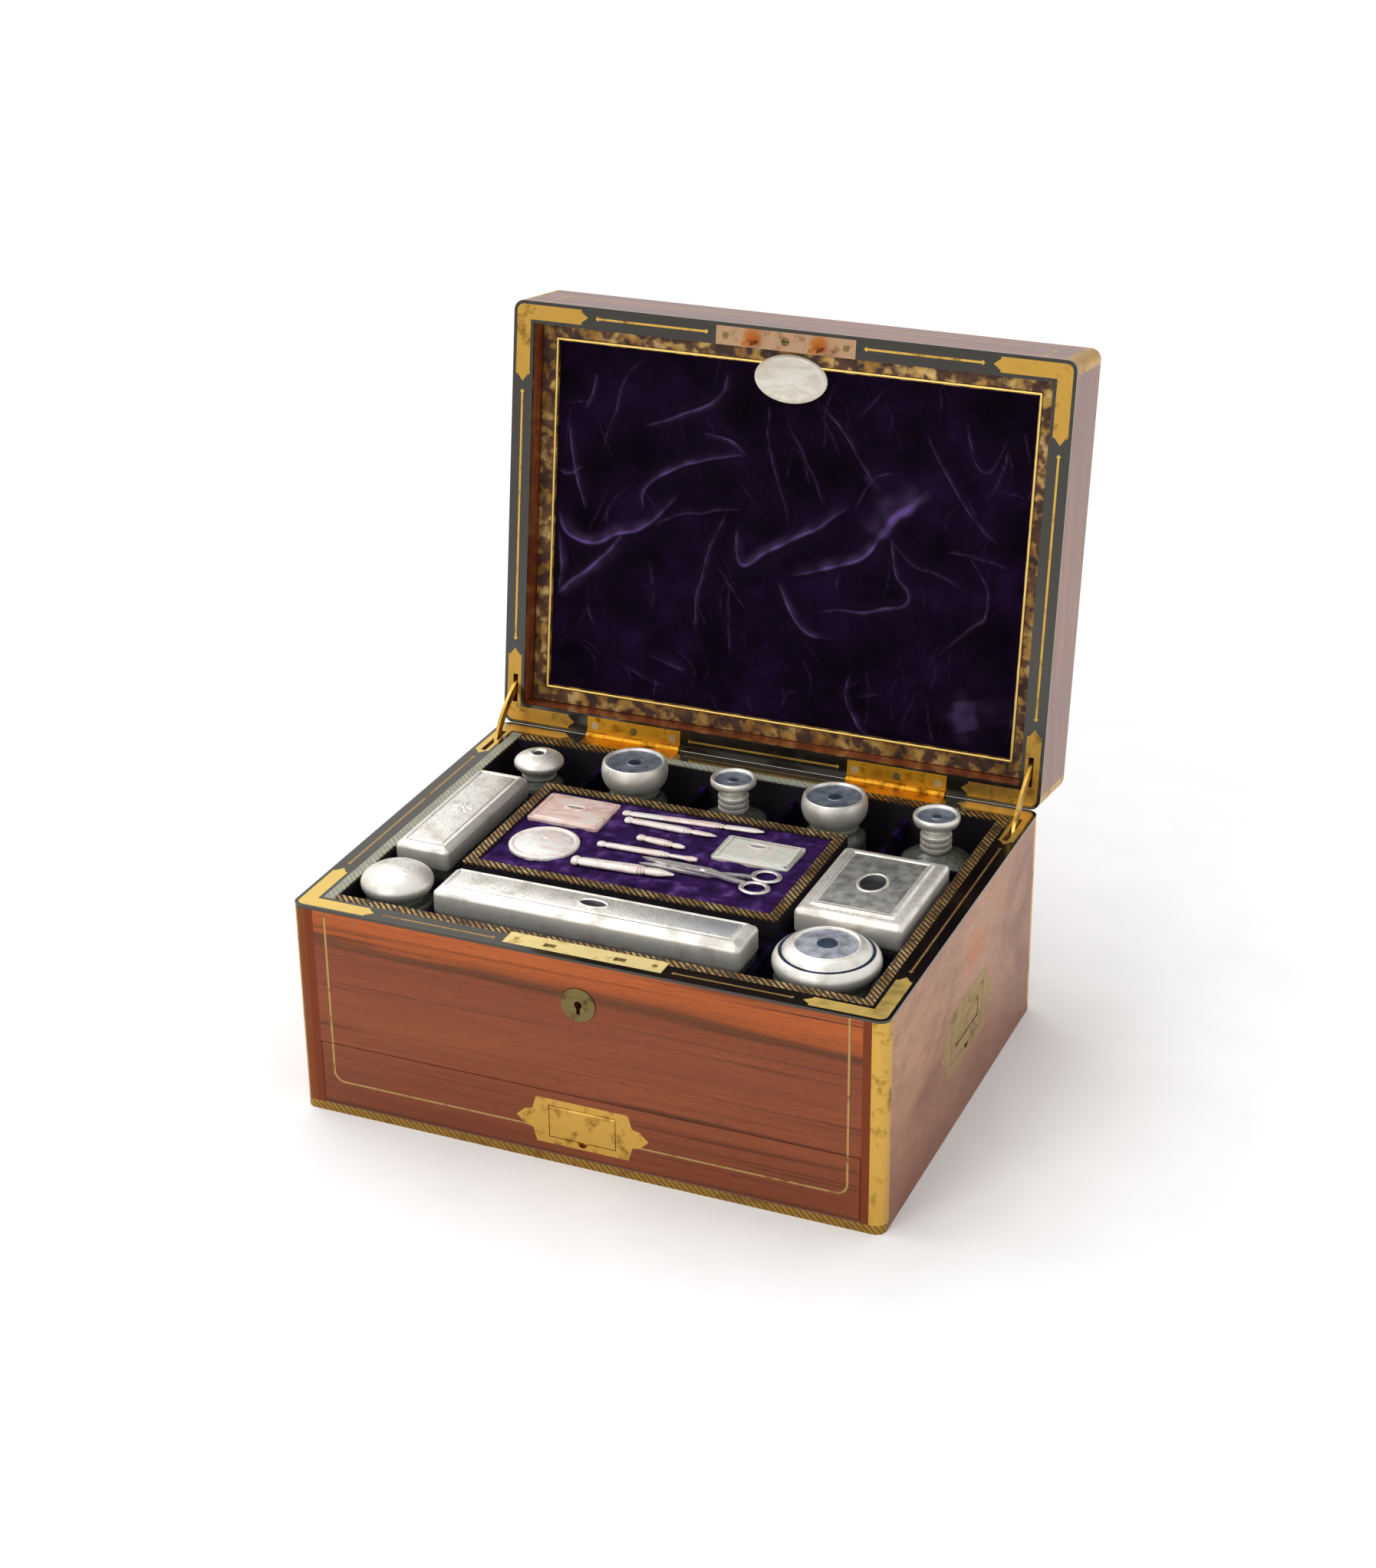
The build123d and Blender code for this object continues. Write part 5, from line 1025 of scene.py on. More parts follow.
def wallet_beading():
    """A thin gilt bead run round the opening of the wallet's frame."""
    low, high = shut_box("wallet_velvet")
    face = shut_box("wallet_frame")[0].z
    inner = (high.x - low.x + 0.6 * MM, high.y - low.y + 0.6 * MM)
    centre = ((low.x + high.x) / 2, (low.y + high.y) / 2, face)
    bead = begin("plane", "wallet_gilt_beading", centre, size=1.0,
                 scale=(inner[0] + 3.2 * MM, inner[1] + 3.2 * MM, 1.0))
    bpy.ops.mesh.inset(thickness=1.6 * MM, depth=0.0)
    bpy.ops.mesh.delete(type="FACE")
    bpy.ops.mesh.select_all(action="SELECT")
    extrude(z=-0.8)
    pick("edges", lambda edge: all(abs(end.co.z - face + 0.8 * MM) < 0.1 * MM for end in edge.verts)
         and edge.calc_face_angle(0.0) > 1.0)
    bpy.ops.mesh.bevel(offset=0.5 * MM, segments=3, affect="EDGES")
    close(50.0)
    move(bead, open_lid_matrix())
    settle(bead, "wallet", "gilt_leather", "beaded_gold")


def oval_plaque():
    """The blank oval tab at the wallet's edge: ivory-white shell, domed, with a worn rim."""
    low, high = shut_box("oval_plaque")
    centre = (low + high) / 2
    plaque = oval("wallet_oval_plaque", (centre.x, centre.y, high.z), (high.x - low.x) / 2,
                  (high.y - low.y) / 2, 72)
    tall = high.z - low.z
    bpy.ops.mesh.extrude_region_move(TRANSFORM_OT_translate={"value": (0, 0, -0.55 * tall)})
    inset((0.7, -0.5), (1.2, -0.25), (0.5, 0.3), (0.6, -0.05), (2.6, -0.28), (3.0, -0.12))
    close(40.0)
    for point in plaque.data.vertices:
        point.co.z = max(point.co.z, low.z)
    move(plaque, open_lid_matrix())
    settle(plaque, "wallet", "pearl", "ivory_shell", replaces=["oval_plaque"])


# ---- tray ----------------------------------------------------------------------------------------
# Places on the tray's bed are shares of its half width and half depth from its middle.
PATCH_BOX = (-0.710, -0.319)
PATCH_R = 19.5
SCISSORS = (0.414, -0.347)
# Slim tools: start right of the patch box in mm, share of y, share of x and y at the far end, width in mm.
SLIM_TOOLS = [
    (4.5, 0.755, 0.544, 0.894, 4.6),
    (9.5, 0.585, 0.284, 0.574, 4.8),
    (24.5, 0.223, 0.154, 0.170, 4.6),
    (7.5, -0.096, 0.296, -0.064, 5.4),
    (3.5, -0.617, 0.249, -0.532, 8.4),
]
# How wide a tool is drawn (the two by the scissors narrower), how much of it is handle, how flat it lies.
SLIM_WIDE, SLIM_NARROW, SLIM_GRIP, SLIM_FLAT, FILE_FLAT = 0.62, 0.5, 0.70, 0.52, 0.42
# The cases' sides and their upper edges, and the gaps in mm below them.
CARD_CASE = (-0.982, -0.473, 0.915)
CARD_GAP = 5.0
NOTEBOOK = (0.355, 0.888, 0.660)
NOTEBOOK_GAP = 2.7
# Their blank plates: how far below the upper edge, and half sizes, in mm.
CARD_PLATE, BOOK_PLATE = (14.0, 7.0, 3.6), (9.0, 6.5, 3.4)


def on_bed(share_x, share_y):
    """A place on the tray's velvet bed."""
    low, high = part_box("tray_velvet")
    return Vector(((low.x + high.x) / 2 + share_x * (high.x - low.x) / 2,
                   (low.y + high.y) / 2 + share_y * (high.y - low.y) / 2, high.z))


def slim_tool_ends(tool):
    """Where a slim tool starts and ends on the bed."""
    start = on_bed(PATCH_BOX[0], tool[1])
    start.x += (PATCH_R + tool[0]) * MM
    return start, on_bed(tool[2], tool[3])


def tray_velvet():
    """Velvet bed of the tray: it sinks under what lies on it and puffs up in between."""
    sizes = bpy.context.scene.dressing_sizes
    low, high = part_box("tray_velvet")
    bed = cloth_grid("tray_velvet_bed", low, high, high.z, sizes.cloth_step * 0.75)
    bpy.ops.object.mode_set(mode="OBJECT")
    runs = [(*slim_tool_ends(tool), tool[4] * MM / 2) for tool in SLIM_TOOLS]
    patch = on_bed(*PATCH_BOX)
    x, y, _ = places_of(bed)
    under = numpy.hypot(x - patch.x, y - patch.y) < PATCH_R * MM
    for start, end, half in runs:
        under |= abs(near_fold(x, y, [start, end])[0]) < half
    held = {}
    for point, pressed in zip(bed.data.vertices, under):
        place = point.co.copy()
        edge = min(place.x - low.x, high.x - place.x, place.y - low.y, high.y - place.y)
        point.co.z -= (PRESSED_IN if pressed else 0.0) * MM
        point.co.z += 0.25 * MM * noise.noise(place * 90) * min(edge / (4 * MM), 1.0)
        if pressed or edge < 0.4 * sizes.cloth_step:
            held[point.index] = 1.0
    relax(bed, held, TRAY_GROWTH, 10)
    keep_between(bed, low, high, high.z - 1.0 * MM, high.z + 0.5 * MM)
    only(bed)
    bpy.ops.object.shade_smooth()
    area = cloth_area(bed)
    settle(bed, "tray", "velvet", "tray_silk_velvet", replaces=["tray_velvet"])


def lay(piece, start, end, thickness):
    """Lay a piece turned about z on its side between two places, flattened, its underside on the bed."""
    run = end - start
    flat = Matrix.Diagonal((thickness, 1.0, 1.0, 1.0))
    down = Matrix.Rotation(math.radians(90), 4, "Y")
    heading = Matrix.Rotation(math.atan2(run.y, run.x), 4, "Z")
    move(piece, Matrix.Translation(start) @ heading @ down @ flat)
    lowest = min(point.co.z for point in piece.data.vertices)
    move(piece, Matrix.Translation((0, 0, start.z - 0.5 * MM - lowest)))


def slim_tools():
    """Five slim tools: carved shell handles with silver ferrules, and steel working ends."""
    handles = []
    kinds = ("file", "stiletto", "tweezers", "pusher", "knife")
    for tool, kind in zip(SLIM_TOOLS, kinds):
        start, end = slim_tool_ends(tool)
        length = (end - start).length / MM
        w = tool[4] * (SLIM_NARROW if kind in ("pusher", "knife") else SLIM_WIDE)
        grip = length * SLIM_GRIP
        profile = [(0.3 * w, 0.0), (0.75 * w, 0.5), (w, 1.8), (0.95 * w, 3.6), (0.72 * w, 4.6),
                   (0.7 * w, 5.2), (0.86 * w, 5.8), (0.92 * w, grip * 0.5), (w, grip - 6.0),
                   (0.98 * w, grip - 2.6), (0.74 * w, grip - 2.0), (0.92 * w, grip - 1.5),
                   (0.92 * w, grip - 0.8), (0.66 * w, grip - 0.4), (0.8 * w, grip), (0.8 * w, grip + 0.7),
                   (0.5 * w, grip + 1.4)]
        blade = {"file": [(0.8 * w, grip + 3), (0.84 * w, length - 5), (0.2 * w, length)],
                 "stiletto": [(0.72 * w, grip + 4), (0.6 * w, length * 0.92), (0.1 * w, length)],
                 "tweezers": [(0.8 * w, grip + 3), (0.76 * w, length - 3), (0.4 * w, length)],
                 "pusher": [(0.6 * w, grip + 3), (0.62 * w, length - 8), (0.95 * w, length - 3.5),
                            (0.6 * w, length)],
                 "knife": [(0.76 * w, grip + 2), (0.82 * w, length - 8), (0.2 * w, length)]}[kind]
        tool_piece = turned(f"tool_{kind}", mm(profile + blade), steps=20)
        zone(tool_piece, 1, lambda face: face.center.z > (grip - 2.2) * MM)
        zone(tool_piece, 2, lambda face: face.center.z > (grip + 1.0) * MM)
        lay(tool_piece, start, end, FILE_FLAT if kind == "file" else SLIM_FLAT)
        handles.append(tool_piece)
    tools = join(handles, "slim_tools")
    return settle(tools, "tray", "pearl", "carved_shell", "engraved_silver", "burnished_steel")


def shell_case(name, x0, x1, y0, y1, low, high, rim=1.6):
    """A thin rounded case of shell plates with a framed panel on its face."""
    begin("cube", name, ((x0 + x1) / 2, (y0 + y1) / 2, (low + high - 0.5 * MM) / 2), size=1.0,
          scale=(x1 - x0, y1 - y0, high - low - 0.5 * MM))
    pick("edges", lambda edge: abs(edge.verts[0].co.z - edge.verts[1].co.z) > 0.5 * (high - low))
    bpy.ops.mesh.bevel(offset=2.0 * MM, segments=4, affect="EDGES")
    pick("faces", lambda face: face.normal.z > 0.9)
    for thickness, depth in ((0.5, 0.5), (rim, 0.0), (0.35, -0.3), (0.7, 0.0), (0.3, 0.25)):
        bpy.ops.mesh.inset(thickness=thickness * MM, depth=0.0, use_even_offset=True)
        bpy.ops.transform.translate(value=(0, 0, depth * MM))
    return close(30.0)


def shell_cases():
    """The card case, the notebook with its pencil, and the round patch box."""
    bed = on_bed(0, 0).z
    low, high = bed - 0.8 * MM, bed + 1.9 * MM
    corner = on_bed(CARD_CASE[0], CARD_CASE[2])
    card = shell_case("shell_card_case", corner.x, on_bed(CARD_CASE[1], 0).x,
                      on_bed(*PATCH_BOX).y + (PATCH_R + CARD_GAP) * MM, corner.y, low, high)
    settle(card, "tray", "pearl", "pink_shell")
    place = ((corner.x + on_bed(CARD_CASE[1], 0).x) / 2, corner.y - CARD_PLATE[0] * MM, high)
    cartouche("card_case_cartouche", "tray", place, *CARD_PLATE[1:], "pearl",
              ("pink_shell", "smoked_shell"))
    corner = on_bed(NOTEBOOK[0], NOTEBOOK[2])
    loop_y = on_bed(*SCISSORS).y + (8.6 + LOOP_R) * MM
    right = on_bed(NOTEBOOK[1], 0).x
    book = shell_case("shell_notebook", corner.x, right, loop_y + NOTEBOOK_GAP * MM, corner.y, low, high,
                      2.4)
    pencil = turned("notebook_pencil", mm([(0.6, 0.0), (1.3, 0.6), (1.3, 2.2), (1.0, 2.6), (1.2, 3.0),
                                           (1.2, 18.0), (0.9, 18.4), (1.1, 18.8), (1.1, 21.0),
                                           (0.3, 23.0)]),
                    steps=20)
    lay(pencil, Vector((right - 2.0 * MM, loop_y + (NOTEBOOK_GAP + 1.0) * MM, bed + 2.0 * MM)),
        Vector((right - 2.0 * MM, corner.y, bed + 2.0 * MM)), 0.9)
    book = join([book, pencil], "shell_notebook")
    settle(book, "tray", "pearl", "green_shell")
    place = ((corner.x + right) / 2 - 2.0 * MM, corner.y - BOOK_PLATE[0] * MM, high)
    cartouche("notebook_cartouche", "tray", place, *BOOK_PLATE[1:], "pearl",
              ("green_shell", "smoked_shell"))
    patch = on_bed(*PATCH_BOX)
    r = PATCH_R
    box = turned("shell_patch_box",
                 mm([(r - 0.6, -0.8), (r, -0.5), (r, 0.9), (r - 0.5, 1.5), (r - 1.6, 1.8), (r - 2.6, 1.6),
                     (r - 3.0, 1.2), (r - 3.6, 1.2)] + arc(0.0, 1.0, r - 3.8, 2.5, 8, 80, 12)
                    + [(2.2, 3.5), (2.0, 3.4), (0.0, 3.5)]), (0, 0), 72)
    move(box, Matrix.Translation(patch))
    settle(box, "tray", "pearl", "polished_shell", replaces=["manicure_tools"])


LOOP_R = 7.6
LOOP = Vector((32.0, 8.6))


def scissors_half(name, side, low, high):
    """Half a pair of scissors, pivot at the origin: a tapered blade, a bowed shank and an oval bow."""
    tall = (high - low) / MM
    half = begin("cube", name, (0, 0, 0), size=1.0, scale=(5.0 * MM, 5.4 * MM, tall * MM))
    forward = [(-9.0, -0.3, 0.95), (-12.0, -0.8, 0.72), (-10.0, -0.7, 0.45), (-3.4, -0.35, 0.10)]
    pick("faces", lambda face: face.normal.x < -0.9)
    for x, y, share in forward:
        extrude(x, side * y)
        bpy.ops.transform.resize(value=(1, share, 1 if share > 0.2 else 0.6),
                                 center_override=middle_of_selection())
    pick("faces", lambda face: face.normal.x > 0.9 and face.calc_center_median().x > 0)
    for x, y, share in ((4.0, 0.8, 0.8), (6.0, 2.2, 0.75), (7.0, 1.6, 0.85), (5.6, 0.6, 0.9)):
        extrude(x, side * y)
        bpy.ops.transform.resize(value=(1, share, 1), center_override=middle_of_selection())
    close(40.0)
    finish_with(half, "BEVEL", width=0.35 * MM, segments=2, limit_method="ANGLE")
    bow = begin("torus", name + "_bow", (LOOP.x * MM, side * LOOP.y * MM, 0), major_radius=6.0 * MM,
                minor_radius=1.25 * MM, major_segments=40, minor_segments=10)
    bpy.ops.transform.resize(value=(1.2, 1.0, tall / 2.5),
                             center_override=(LOOP.x * MM, side * LOOP.y * MM, 0))
    close()
    return join([half, bow], name)


def scissors():
    """Embroidery scissors in two halves on a pin, lying in the tray."""
    pivot = on_bed(*SCISSORS)
    for name, side, node, body in (("scissors_fixed_half", 1, "scissors_lower_half", "tray"),
                                   ("scissors_moving_half", -1, "scissors_upper_half", "scissors_upper")):
        low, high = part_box(node)
        if body == "tray":
            low, high = Vector((0, 0, pivot.z + 0.4 * MM)), Vector((0, 0, pivot.z + 1.9 * MM))
        half = scissors_half(name, side, low.z, high.z)
        pieces = [half]
        if body == "scissors_upper":
            pin = turned("scissors_pin", mm([(2.3, 0.0), (2.3, 0.25), (1.9, 0.5), (0.0, 0.6)]), steps=28)
            move(pin, Matrix.Translation((0, 0, (high.z - low.z) / 2)))
            pieces.append(pin)
        half = join(pieces, name)
        move(half, Matrix.Translation((pivot.x, pivot.y, (low.z + high.z) / 2)))
        settle(half, body, "steel", "burnished_steel", replaces=[node])


# ---- stage ---------------------------------------------------------------------------------------
def stage_floor():
    """A pale floor under the box."""
    paper = begin("plane", "studio_floor", size=16.0)
    bpy.ops.mesh.subdivide(number_cuts=3)
    close()
    paper.data.materials.append(bpy.data.materials["sweep_paper"])


def soft_light(name, place, aim, power, size):
    """A large soft box of light."""
    lamp = bpy.data.lights.new(name, "AREA")
    lamp.shape = "DISK"
    lamp.size = size
    lamp.energy = power
    holder = bpy.data.objects.new(name, lamp)
    bpy.context.scene.collection.objects.link(holder)
    holder.location = place
    holder.rotation_euler = (Vector(aim) - Vector(place)).to_track_quat("-Z", "Y").to_euler()


CAMERA_PLACE = (0.5514, -1.2588, 0.8195)
CAMERA_TURN = (23.36, 25.44, -0.64)     # azimuth, height and roll, in degrees
LENS = 65.82


def camera():
    """Camera a little above and to the right of the box's front."""
    lens = bpy.data.cameras.new("camera")
    holder = bpy.data.objects.new("camera", lens)
    bpy.context.scene.collection.objects.link(holder)
    azimuth, height, roll = (math.radians(turn) for turn in CAMERA_TURN)
    back = Vector((math.sin(azimuth) * math.cos(height), -math.cos(azimuth) * math.cos(height),
                   math.sin(height)))
    right = Vector((math.cos(azimuth), math.sin(azimuth), 0.0))
    up = back.cross(right)
    rolled_right = right * math.cos(roll) + up * math.sin(roll)
    rolled_up = up * math.cos(roll) - right * math.sin(roll)
    turn = Matrix((rolled_right, rolled_up, back)).transposed()
    holder.matrix_world = Matrix.Translation(CAMERA_PLACE) @ turn.to_4x4()
    lens.lens = LENS
    lens.sensor_width = 36.0
    lens.clip_start = 0.05
    bpy.context.scene.camera = holder


def studio():
    """World light, soft boxes and tone."""
    scene = bpy.context.scene
    world = scene.world or bpy.data.worlds.new("studio")
    scene.world = world
    world.use_nodes = True
    sky = world.node_tree.nodes["Background"]
    sky.inputs["Color"].default_value = linear("ffffff")
    sky.inputs["Strength"].default_value = scene.dressing_sizes.world_light
    sun = bpy.data.lights.new("high_window", "SUN")
    sun.energy = scene.dressing_sizes.window_light
    sun.angle = math.radians(55)
    window = bpy.data.objects.new("high_window", sun)
    scene.collection.objects.link(window)
    window.rotation_euler = Vector((0.62, -0.22, -1.0)).to_track_quat("-Z", "Y").to_euler()
    soft_light("front_light", (-0.5, -1.6, 1.1), (0.0, 0.0, 0.12), 7.0, 0.8)
    scene.view_settings.view_transform = "Standard"


# ---- the add-on ----------------------------------------------------------------------------------
class DressingBoxSizes(bpy.types.PropertyGroup):
    """Sizes that a user may change."""

    cloth_step: bpy.props.FloatProperty(name="Cloth step", default=1.7 * MM, min=1.0 * MM, unit="LENGTH",
                                        description="Distance between the velvet's points")
    fold_height: bpy.props.FloatProperty(name="Fold height", default=2.4 * MM, min=0.0, unit="LENGTH",
                                         description="How far the wallet's folds stand up")
    edge_ease: bpy.props.FloatProperty(name="Eased edge", description="Wear on sharp wooden edges, in mm",
                                       default=0.35, min=0.0)
    world_light: bpy.props.FloatProperty(name="Room light", description="Strength of the light all round",
                                         default=0.80, min=0.0)
    window_light: bpy.props.FloatProperty(name="Window light", default=1.15, min=0.0,
                                          description="Strength of the light from the left")


class DressingBoxColours(bpy.types.PropertyGroup):
    """Colours that a user may change."""

    rosewood: bpy.props.FloatVectorProperty(name="Rosewood", description="Overall tone of the veneer",
                                            subtype="COLOR", size=3, default=linear("7d3b20")[:3])


# Brasses: name, rubbed tone, dull tone, roughness.
# lock_brass is drawn paler than the rest: painted light on the lock plate.
BRASSES = (("rubbed_brass", "cfa550", "8e6a2c", 0.32), ("hinge_brass", "d69d2c", "8a5410", 0.38),
           ("pale_brass", "cdb690", "98794c", 0.4), ("antique_brass", "7a6a42", "382c1a", 0.42),
           ("lock_brass", "ecd89a", "b89a56", 0.5), ("lid_brass", "bd9344", "7d5c26", 0.32),
           ("stringing_brass", "b3925c", "744c2c", 0.42), ("tarnished_brass", "a88d5c", "7a6038", 0.44))
STRIKE_SPOTS = (19.5, 364.0)        # how far the strike plate's darker spots are from the middle, their height
# Silvers drawn darker: painted reflection of the dark lid, and painted shade in the drum's groove.
REFLECTION_SILVERS = (("oxidised_silver", "8b92a0"), ("pale_oxidised_silver", "b4b7c2"),
                    ("grey_silver", "a4a39e"), ("blackened_silver", "3c3b3e"), ("blued_silver", "3e4a60"))
# Shells: name, light, warm and cool tone.
SHELLS = (("carved_shell", "f1e6df", "e3c7bb", "d7dcd6"), ("green_shell", "dedfd3", "dccfc6", "c6cfc3"),
          ("smoked_shell", "a39a92", "8c807c", "9aa096"), ("pink_shell", "ecd2c8", "dcb3a6", "e6dcd2"),
          ("polished_shell", "f4efe8", "e8d6cf", "d9dfdb"), ("ivory_shell", "ddd5c6", "d0c4b0", "e2ddd2"))


class DRESSING_OT_finishes(bpy.types.Operator):
    """Make the finishes: woods, metals, leather, velvet, shell and glass"""

    bl_idname = "dressing.finishes"
    bl_label = "Make finishes"

    def execute(self, context):
        rosewood("rosewood_case", 120, 120, 11, bands=True)
        # The sides' paler tones are painted sheen.
        rosewood("rosewood_sides", 45, 70, 40, sides=True, lines=0.25,
                 tones=("84563a", "b28262", "c99976", "c77d4b"))
        rosewood("rosewood_lid_walls", 120, 120, 11, lid=True)
        rosewood("rosewood_lid_top", 120, 12, 12, lid=True)
        for name, light, dark, roughness in BRASSES:
            brass(name, light, dark, roughness)
        brass("binding_brass", "cfa550", "8e6a2c", 0.38, hatched=True)
        brass("beaded_gold", "d2ab5c", "7c5a24", 0.32, hatched=True)
        brass("coppery_brass", "ab8a6c", "80573a", 0.38, spots=STRIKE_SPOTS)
        # The liner carries a painted reflection on its back and left runs.
        gilt_leather("gold_tooled_leather", edge=RIM_Z / MM, painted_glare=True)
        gilt_leather("tray_edge_leather", edge=RIM_Z / MM + 0.4)
        gilt_leather("wallet_leather", lid=True, hatched=False)
        # The wells' velvet is a darker copy: painted shade in the deep wells.
        velvet("well_velvet", "030107", "0a0414", "2a1650")
        velvet("gathered_silk_velvet", "070209", "12061a", "220d30", creased=True)
        velvet("tray_silk_velvet", "1a0c2a", "341a4e", "644684")
        silver("engraved_silver")
        silver("shaded_silver", cool_end=60.0)
        for name, tone in REFLECTION_SILVERS:
            reflection_tinted_silver(name, tone)
        for name, light, warm, cool in SHELLS:
            pearl(name, light, warm, cool)
        for make, name in ((secondary_wood, "waxed_mahogany"), (ebony, "polished_ebony"),
                           (steel, "burnished_steel"), (cut_glass, "cut_lead_glass"),
                           (looking_glass, "silvered_glass"), (dark_recess, "dark_recess"),
                           (sweep_paper, "sweep_paper")):
            make(name)
        return {"FINISHED"}


# CAD nodes finished as they are: worn veneered boards, each other finish's nodes, how far some are eased.
WORN_WOOD = {"case_front_panel": "rosewood_case", "case_back_panel": "rosewood_case",
             "case_side_panels": "rosewood_sides", "lid_walls": "rosewood_lid_walls",
             "lid_top_board": "rosewood_lid_top"}
NODE_FINISHES = {"rosewood_case": ("drawer_front",),
                 "waxed_mahogany": ("case_floor_board", "dust_board", "drawer_box"),
                 "polished_ebony": ("case_rim_banding", "lid_rim_banding"),
                 "binding_brass": ("case_brass_bindings",),
                 "hinge_brass": ("case_hinge_leaves", "lid_hinge_leaves"),
                 "stringing_brass": ("case_brass_lines", "drawer_brass_lines"),
                 "rubbed_brass": ("lid_brass_lines", "drawer_handle_plate", "right_lid_stay",
                                  "left_lid_stay", "drawer_handle"),
                 "lid_brass": ("lid_brass_bindings",), "lock_brass": ("lock_case",),
                 "tarnished_brass": ("side_handle_plates", "right_side_handle", "left_side_handle"),
                 "antique_brass": ("keyhole_escutcheon",), "coppery_brass": ("strike_plate",),
                 "burnished_steel": ("lock_bolt",), "gold_tooled_leather": ("liner_boards",),
                 "tray_edge_leather": ("tray_frame",), "wallet_leather": ("wallet_frame",),
                 "well_velvet": ("well_boards",), "silvered_glass": ("lid_mirror",)}
EASED = {"drawer_front": 0.2, "case_hinge_leaves": 0.2, "lid_hinge_leaves": 0.2, "keyhole_escutcheon": 0.2,
         "right_side_handle": 0.3, "left_side_handle": 0.3, "drawer_handle": 0.3}


class DRESSING_OT_cabinet(bpy.types.Operator):
    """Finish the case, the lid and the drawer"""

    bl_idname = "dressing.cabinet"
    bl_label = "Finish cabinet"

    def execute(self, context):
        for node, finish in WORN_WOOD.items():
            dress(node, finish, context.scene.dressing_sizes.edge_ease)
        for finish, nodes in NODE_FINISHES.items():
            for node in nodes:
                dress(node, finish, EASED.get(node, 0.0))
        return {"FINISHED"}


class DRESSING_OT_fixings(bpy.types.Operator):
    """Model the slotted screws of the hinges, the handle plates, the lock plate and the strike plate"""

    bl_idname = "dressing.fixings"
    bl_label = "Make fixings"

    def execute(self, context):
        rim = RIM_Z / MM
        shut_rim = shut_box("lid_rim_banding")[0].z / MM
        leaf_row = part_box("case_hinge_leaves")[0].y / MM + HINGE_SCREW_IN
        hinge_x = [side * (HINGE_X + along) for side in (-1, 1)
                   for along in (-HINGE_SCREW_X, 0, HINGE_SCREW_X)]
        screw_heads("case_hinge_screws", "case", "rubbed_brass", 2.3,
                    [((x, leaf_row, rim), (0, 0, 1), 37 * i) for i, x in enumerate(hinge_x)], RIM_PROUD)
        screw_heads("lid_hinge_screws", "lid", "pale_brass", 2.3,
                    [((x, leaf_row, shut_rim), (0, 0, -1), 53 * i) for i, x in enumerate(hinge_x)
                     if abs(x) != HINGE_X], RIM_PROUD)
        screw_heads("lid_hinge_middle_screws", "lid", "antique_brass", 2.3,
                    [((side * HINGE_X, leaf_row, shut_rim), (0, 0, -1), 30) for side in (-1, 1)],
                    RIM_PROUD)
        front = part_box("drawer_handle_plate")
        height = (front[0].z + front[1].z) / 2 / MM
        screw_heads("drawer_plate_screws", "drawer", "rubbed_brass", 1.4,
                    [((side * (front[1].x / MM - PLATE_SCREW_IN), front[0].y / MM, height), (0, -1, 0),
                      20 + 50 * side) for side in (-1, 1)])
        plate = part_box("side_handle_plates")
        height = (plate[0].z + plate[1].z) / 2 / MM
        screw_heads("side_plate_screws", "case", "rubbed_brass", 1.6,
                    [((side * plate[1].x / MM, along, height), (side, 0, 0), 30 * side)
                     for side in (-1, 1)
                     for along in (plate[0].y / MM + PLATE_SCREW_IN, plate[1].y / MM - PLATE_SCREW_IN)])
        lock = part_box("lock_case")
        screw_heads("lock_plate_screws", "case", "rubbed_brass", 1.5,
                    [((side * (lock[1].x / MM - PLATE_SCREW_IN), (lock[0].y + lock[1].y) / 2 / MM, rim),
                      (0, 0, 1), 60 * side) for side in (-1, 1)], RIM_PROUD)
        strike = shut_box("strike_plate")
        screw_heads("strike_plate_screws", "lid", "antique_brass", 1.9,
                    [((side * (strike[1].x / MM - PLATE_SCREW_IN), STRIKE_ROW, shut_rim),
                      (0, 0, -1), 25 * side) for side in (-1, 1)], RIM_PROUD)
        screw_heads("strike_plate_stud", "lid", "antique_brass", 2.4,
                    [((0, STRIKE_ROW, shut_rim), (0, 0, -1), 0)], RIM_PROUD)
        for node in ("right_side_handle", "left_side_handle"):
            handle_web(node)
        return {"FINISHED"}


# Steps of each box's top, as inset and rise in mm, its panel's finish, its cartouche's half sizes in mm.
BOX_TOPS = {"left_box": ([(1.4, 1.1), (1.6, 0.0), (0.4, -0.4), (0.8, 0.0), (0.4, 0.4)],
                         "engraved_silver", None),
            "long_box": ([(2.6, 2.0), (0.9, 0.0), (0.4, -0.3), (0.7, 0.0), (0.4, 0.3)],
                         "shaded_silver", (9.0, 5.0)),
            "right_box": ([(2.2, 0.8), (2.4, 0.0), (1.2, 1.2), (1.4, 0.0), (0.5, -0.3)],
                          "grey_silver", (8.5, 11.0))}
ROSETTE_PETALS, ROSETTE_R = 8, 6.5


class DRESSING_OT_vessels(bpy.types.Operator):
    """Model the silver tops and finish the cut glass"""

    bl_idname = "dressing.vessels"
    bl_label = "Make vessels"

    def execute(self, context):
        silver_tops()
        for name, (steps, panel, half_sizes) in BOX_TOPS.items():
            crown = box_top(name, steps, panel)
            if half_sizes:
                cartouche(f"{name}_cartouche", f"{name}_lid", crown, *half_sizes)
            else:
                rosette(f"{name}_rosette", f"{name}_lid", crown, ROSETTE_PETALS, ROSETTE_R)
        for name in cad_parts:
            if name.endswith("_glass"):
                dress(name, "cut_lead_glass", 0.4)
        return {"FINISHED"}


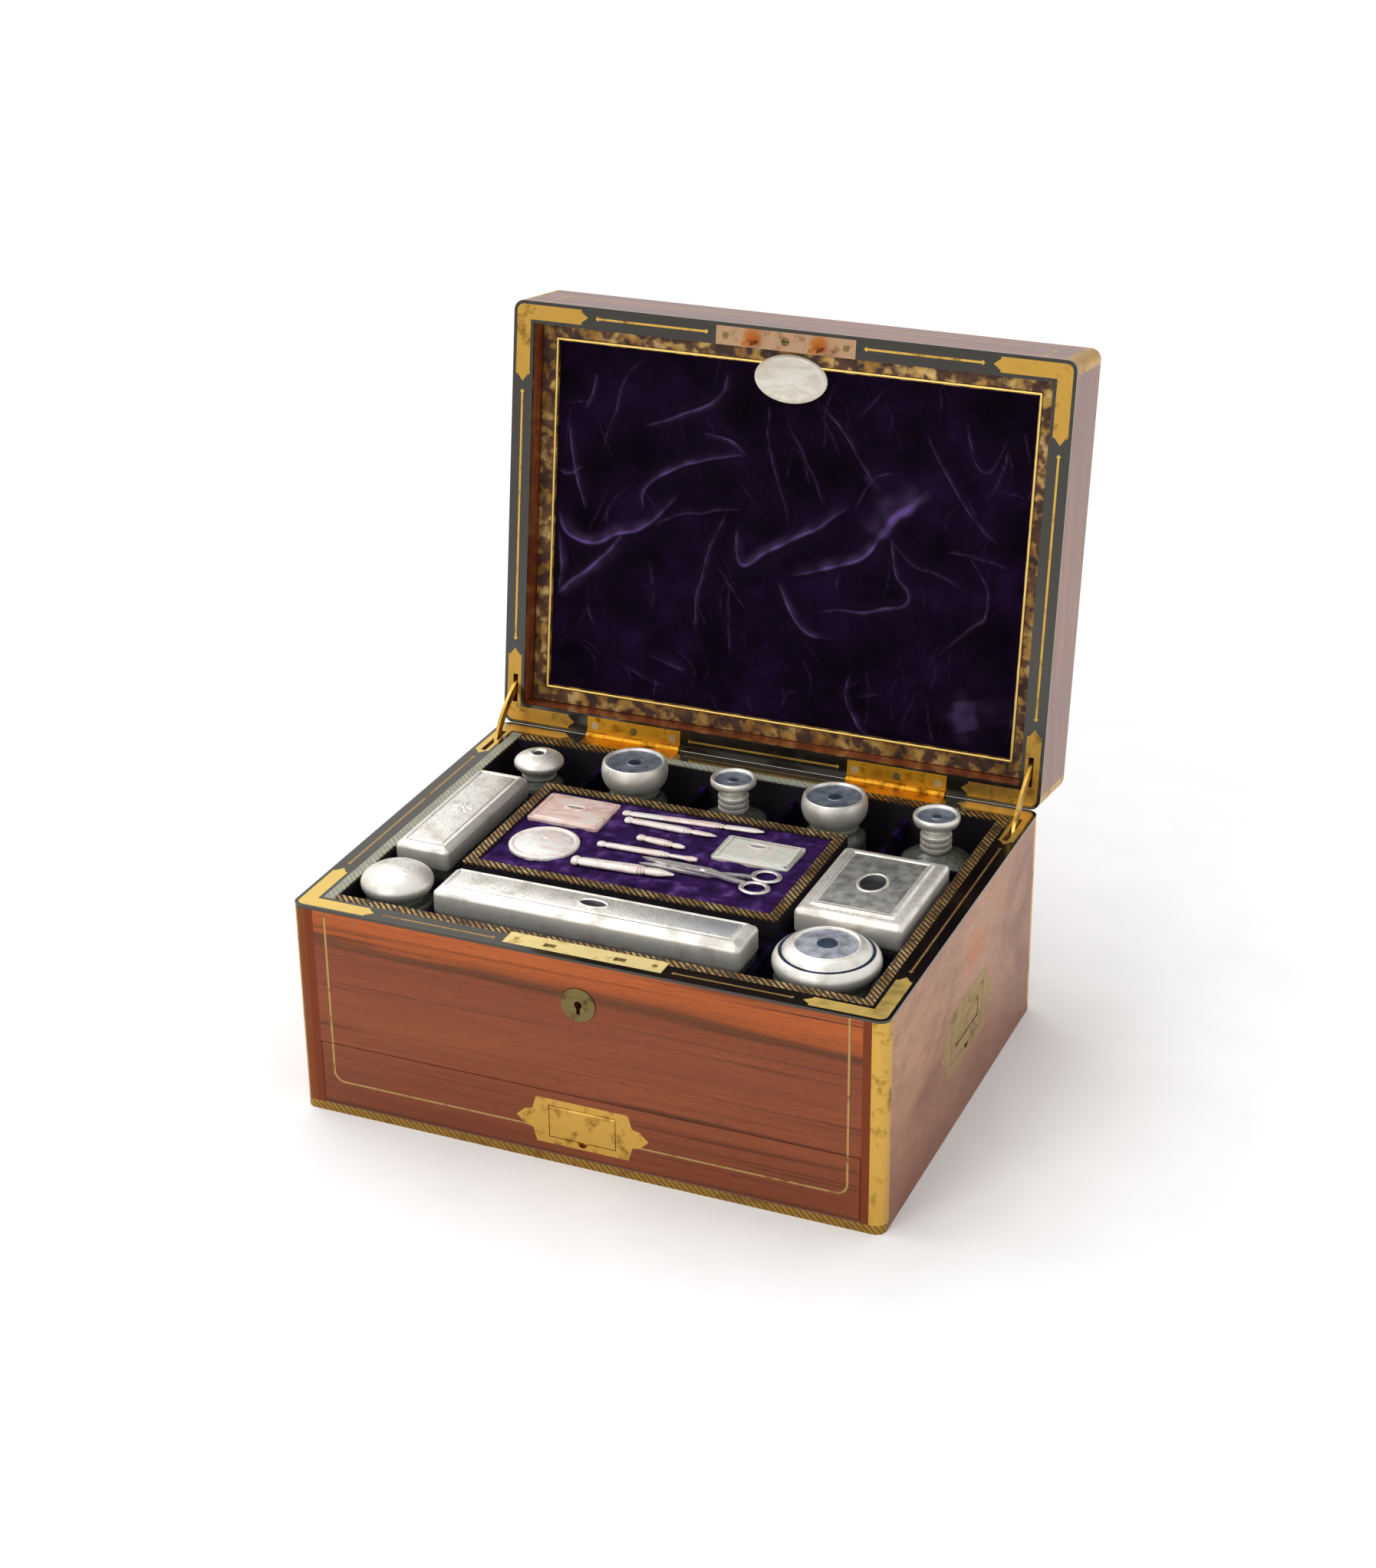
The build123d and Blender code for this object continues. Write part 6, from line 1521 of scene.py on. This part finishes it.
class DRESSING_OT_wallet(bpy.types.Operator):
    """Gather the wallet's velvet and set the oval tab on it"""

    bl_idname = "dressing.wallet"
    bl_label = "Make wallet"

    def execute(self, context):
        wallet_velvet()
        wallet_beading()
        oval_plaque()
        return {"FINISHED"}


class DRESSING_OT_tray(bpy.types.Operator):
    """Lay the tray's velvet, its shell-handled tools, cases and scissors"""

    bl_idname = "dressing.tray"
    bl_label = "Make tray"

    def execute(self, context):
        tray_velvet()
        slim_tools()
        shell_cases()
        scissors()
        return {"FINISHED"}


class DRESSING_OT_stage(bpy.types.Operator):
    """Set the floor, the soft light and the camera"""

    bl_idname = "dressing.stage"
    bl_label = "Set stage"

    def execute(self, context):
        stage_floor()
        studio()
        camera()
        return {"FINISHED"}


class DRESSING_PT_panel(bpy.types.Panel):
    """Sidebar panel with the sizes, the colours and each step"""

    bl_label = "Dressing box"
    bl_idname = "DRESSING_PT_panel"
    bl_space_type = "VIEW_3D"
    bl_region_type = "UI"
    bl_category = "Dressing Box"

    def draw(self, context):
        for group in (context.scene.dressing_sizes, context.scene.dressing_colours):
            for name in group.__annotations__:
                self.layout.prop(group, name)
        for operator in OPERATORS:
            self.layout.operator(operator.bl_idname)


OPERATORS = (DRESSING_OT_finishes, DRESSING_OT_cabinet, DRESSING_OT_fixings, DRESSING_OT_vessels,
             DRESSING_OT_wallet, DRESSING_OT_tray, DRESSING_OT_stage)
CLASSES = (DressingBoxSizes, DressingBoxColours) + OPERATORS + (DRESSING_PT_panel,)


def register():
    """Register the classes and their settings."""
    for item in CLASSES:
        bpy.utils.register_class(item)
    bpy.types.Scene.dressing_sizes = bpy.props.PointerProperty(type=DressingBoxSizes)
    bpy.types.Scene.dressing_colours = bpy.props.PointerProperty(type=DressingBoxColours)


def unregister():
    """Take the classes and their settings away."""
    del bpy.types.Scene.dressing_colours
    del bpy.types.Scene.dressing_sizes
    for item in reversed(CLASSES):
        bpy.utils.unregister_class(item)


def main():
    """Make everything in order."""
    register()
    bpy.ops.dressing.finishes()
    bpy.ops.dressing.cabinet()
    bpy.ops.dressing.fixings()
    bpy.ops.dressing.vessels()
    bpy.ops.dressing.wallet()
    bpy.ops.dressing.tray()
    bpy.ops.dressing.stage()


if __name__ == "__main__":
    main()
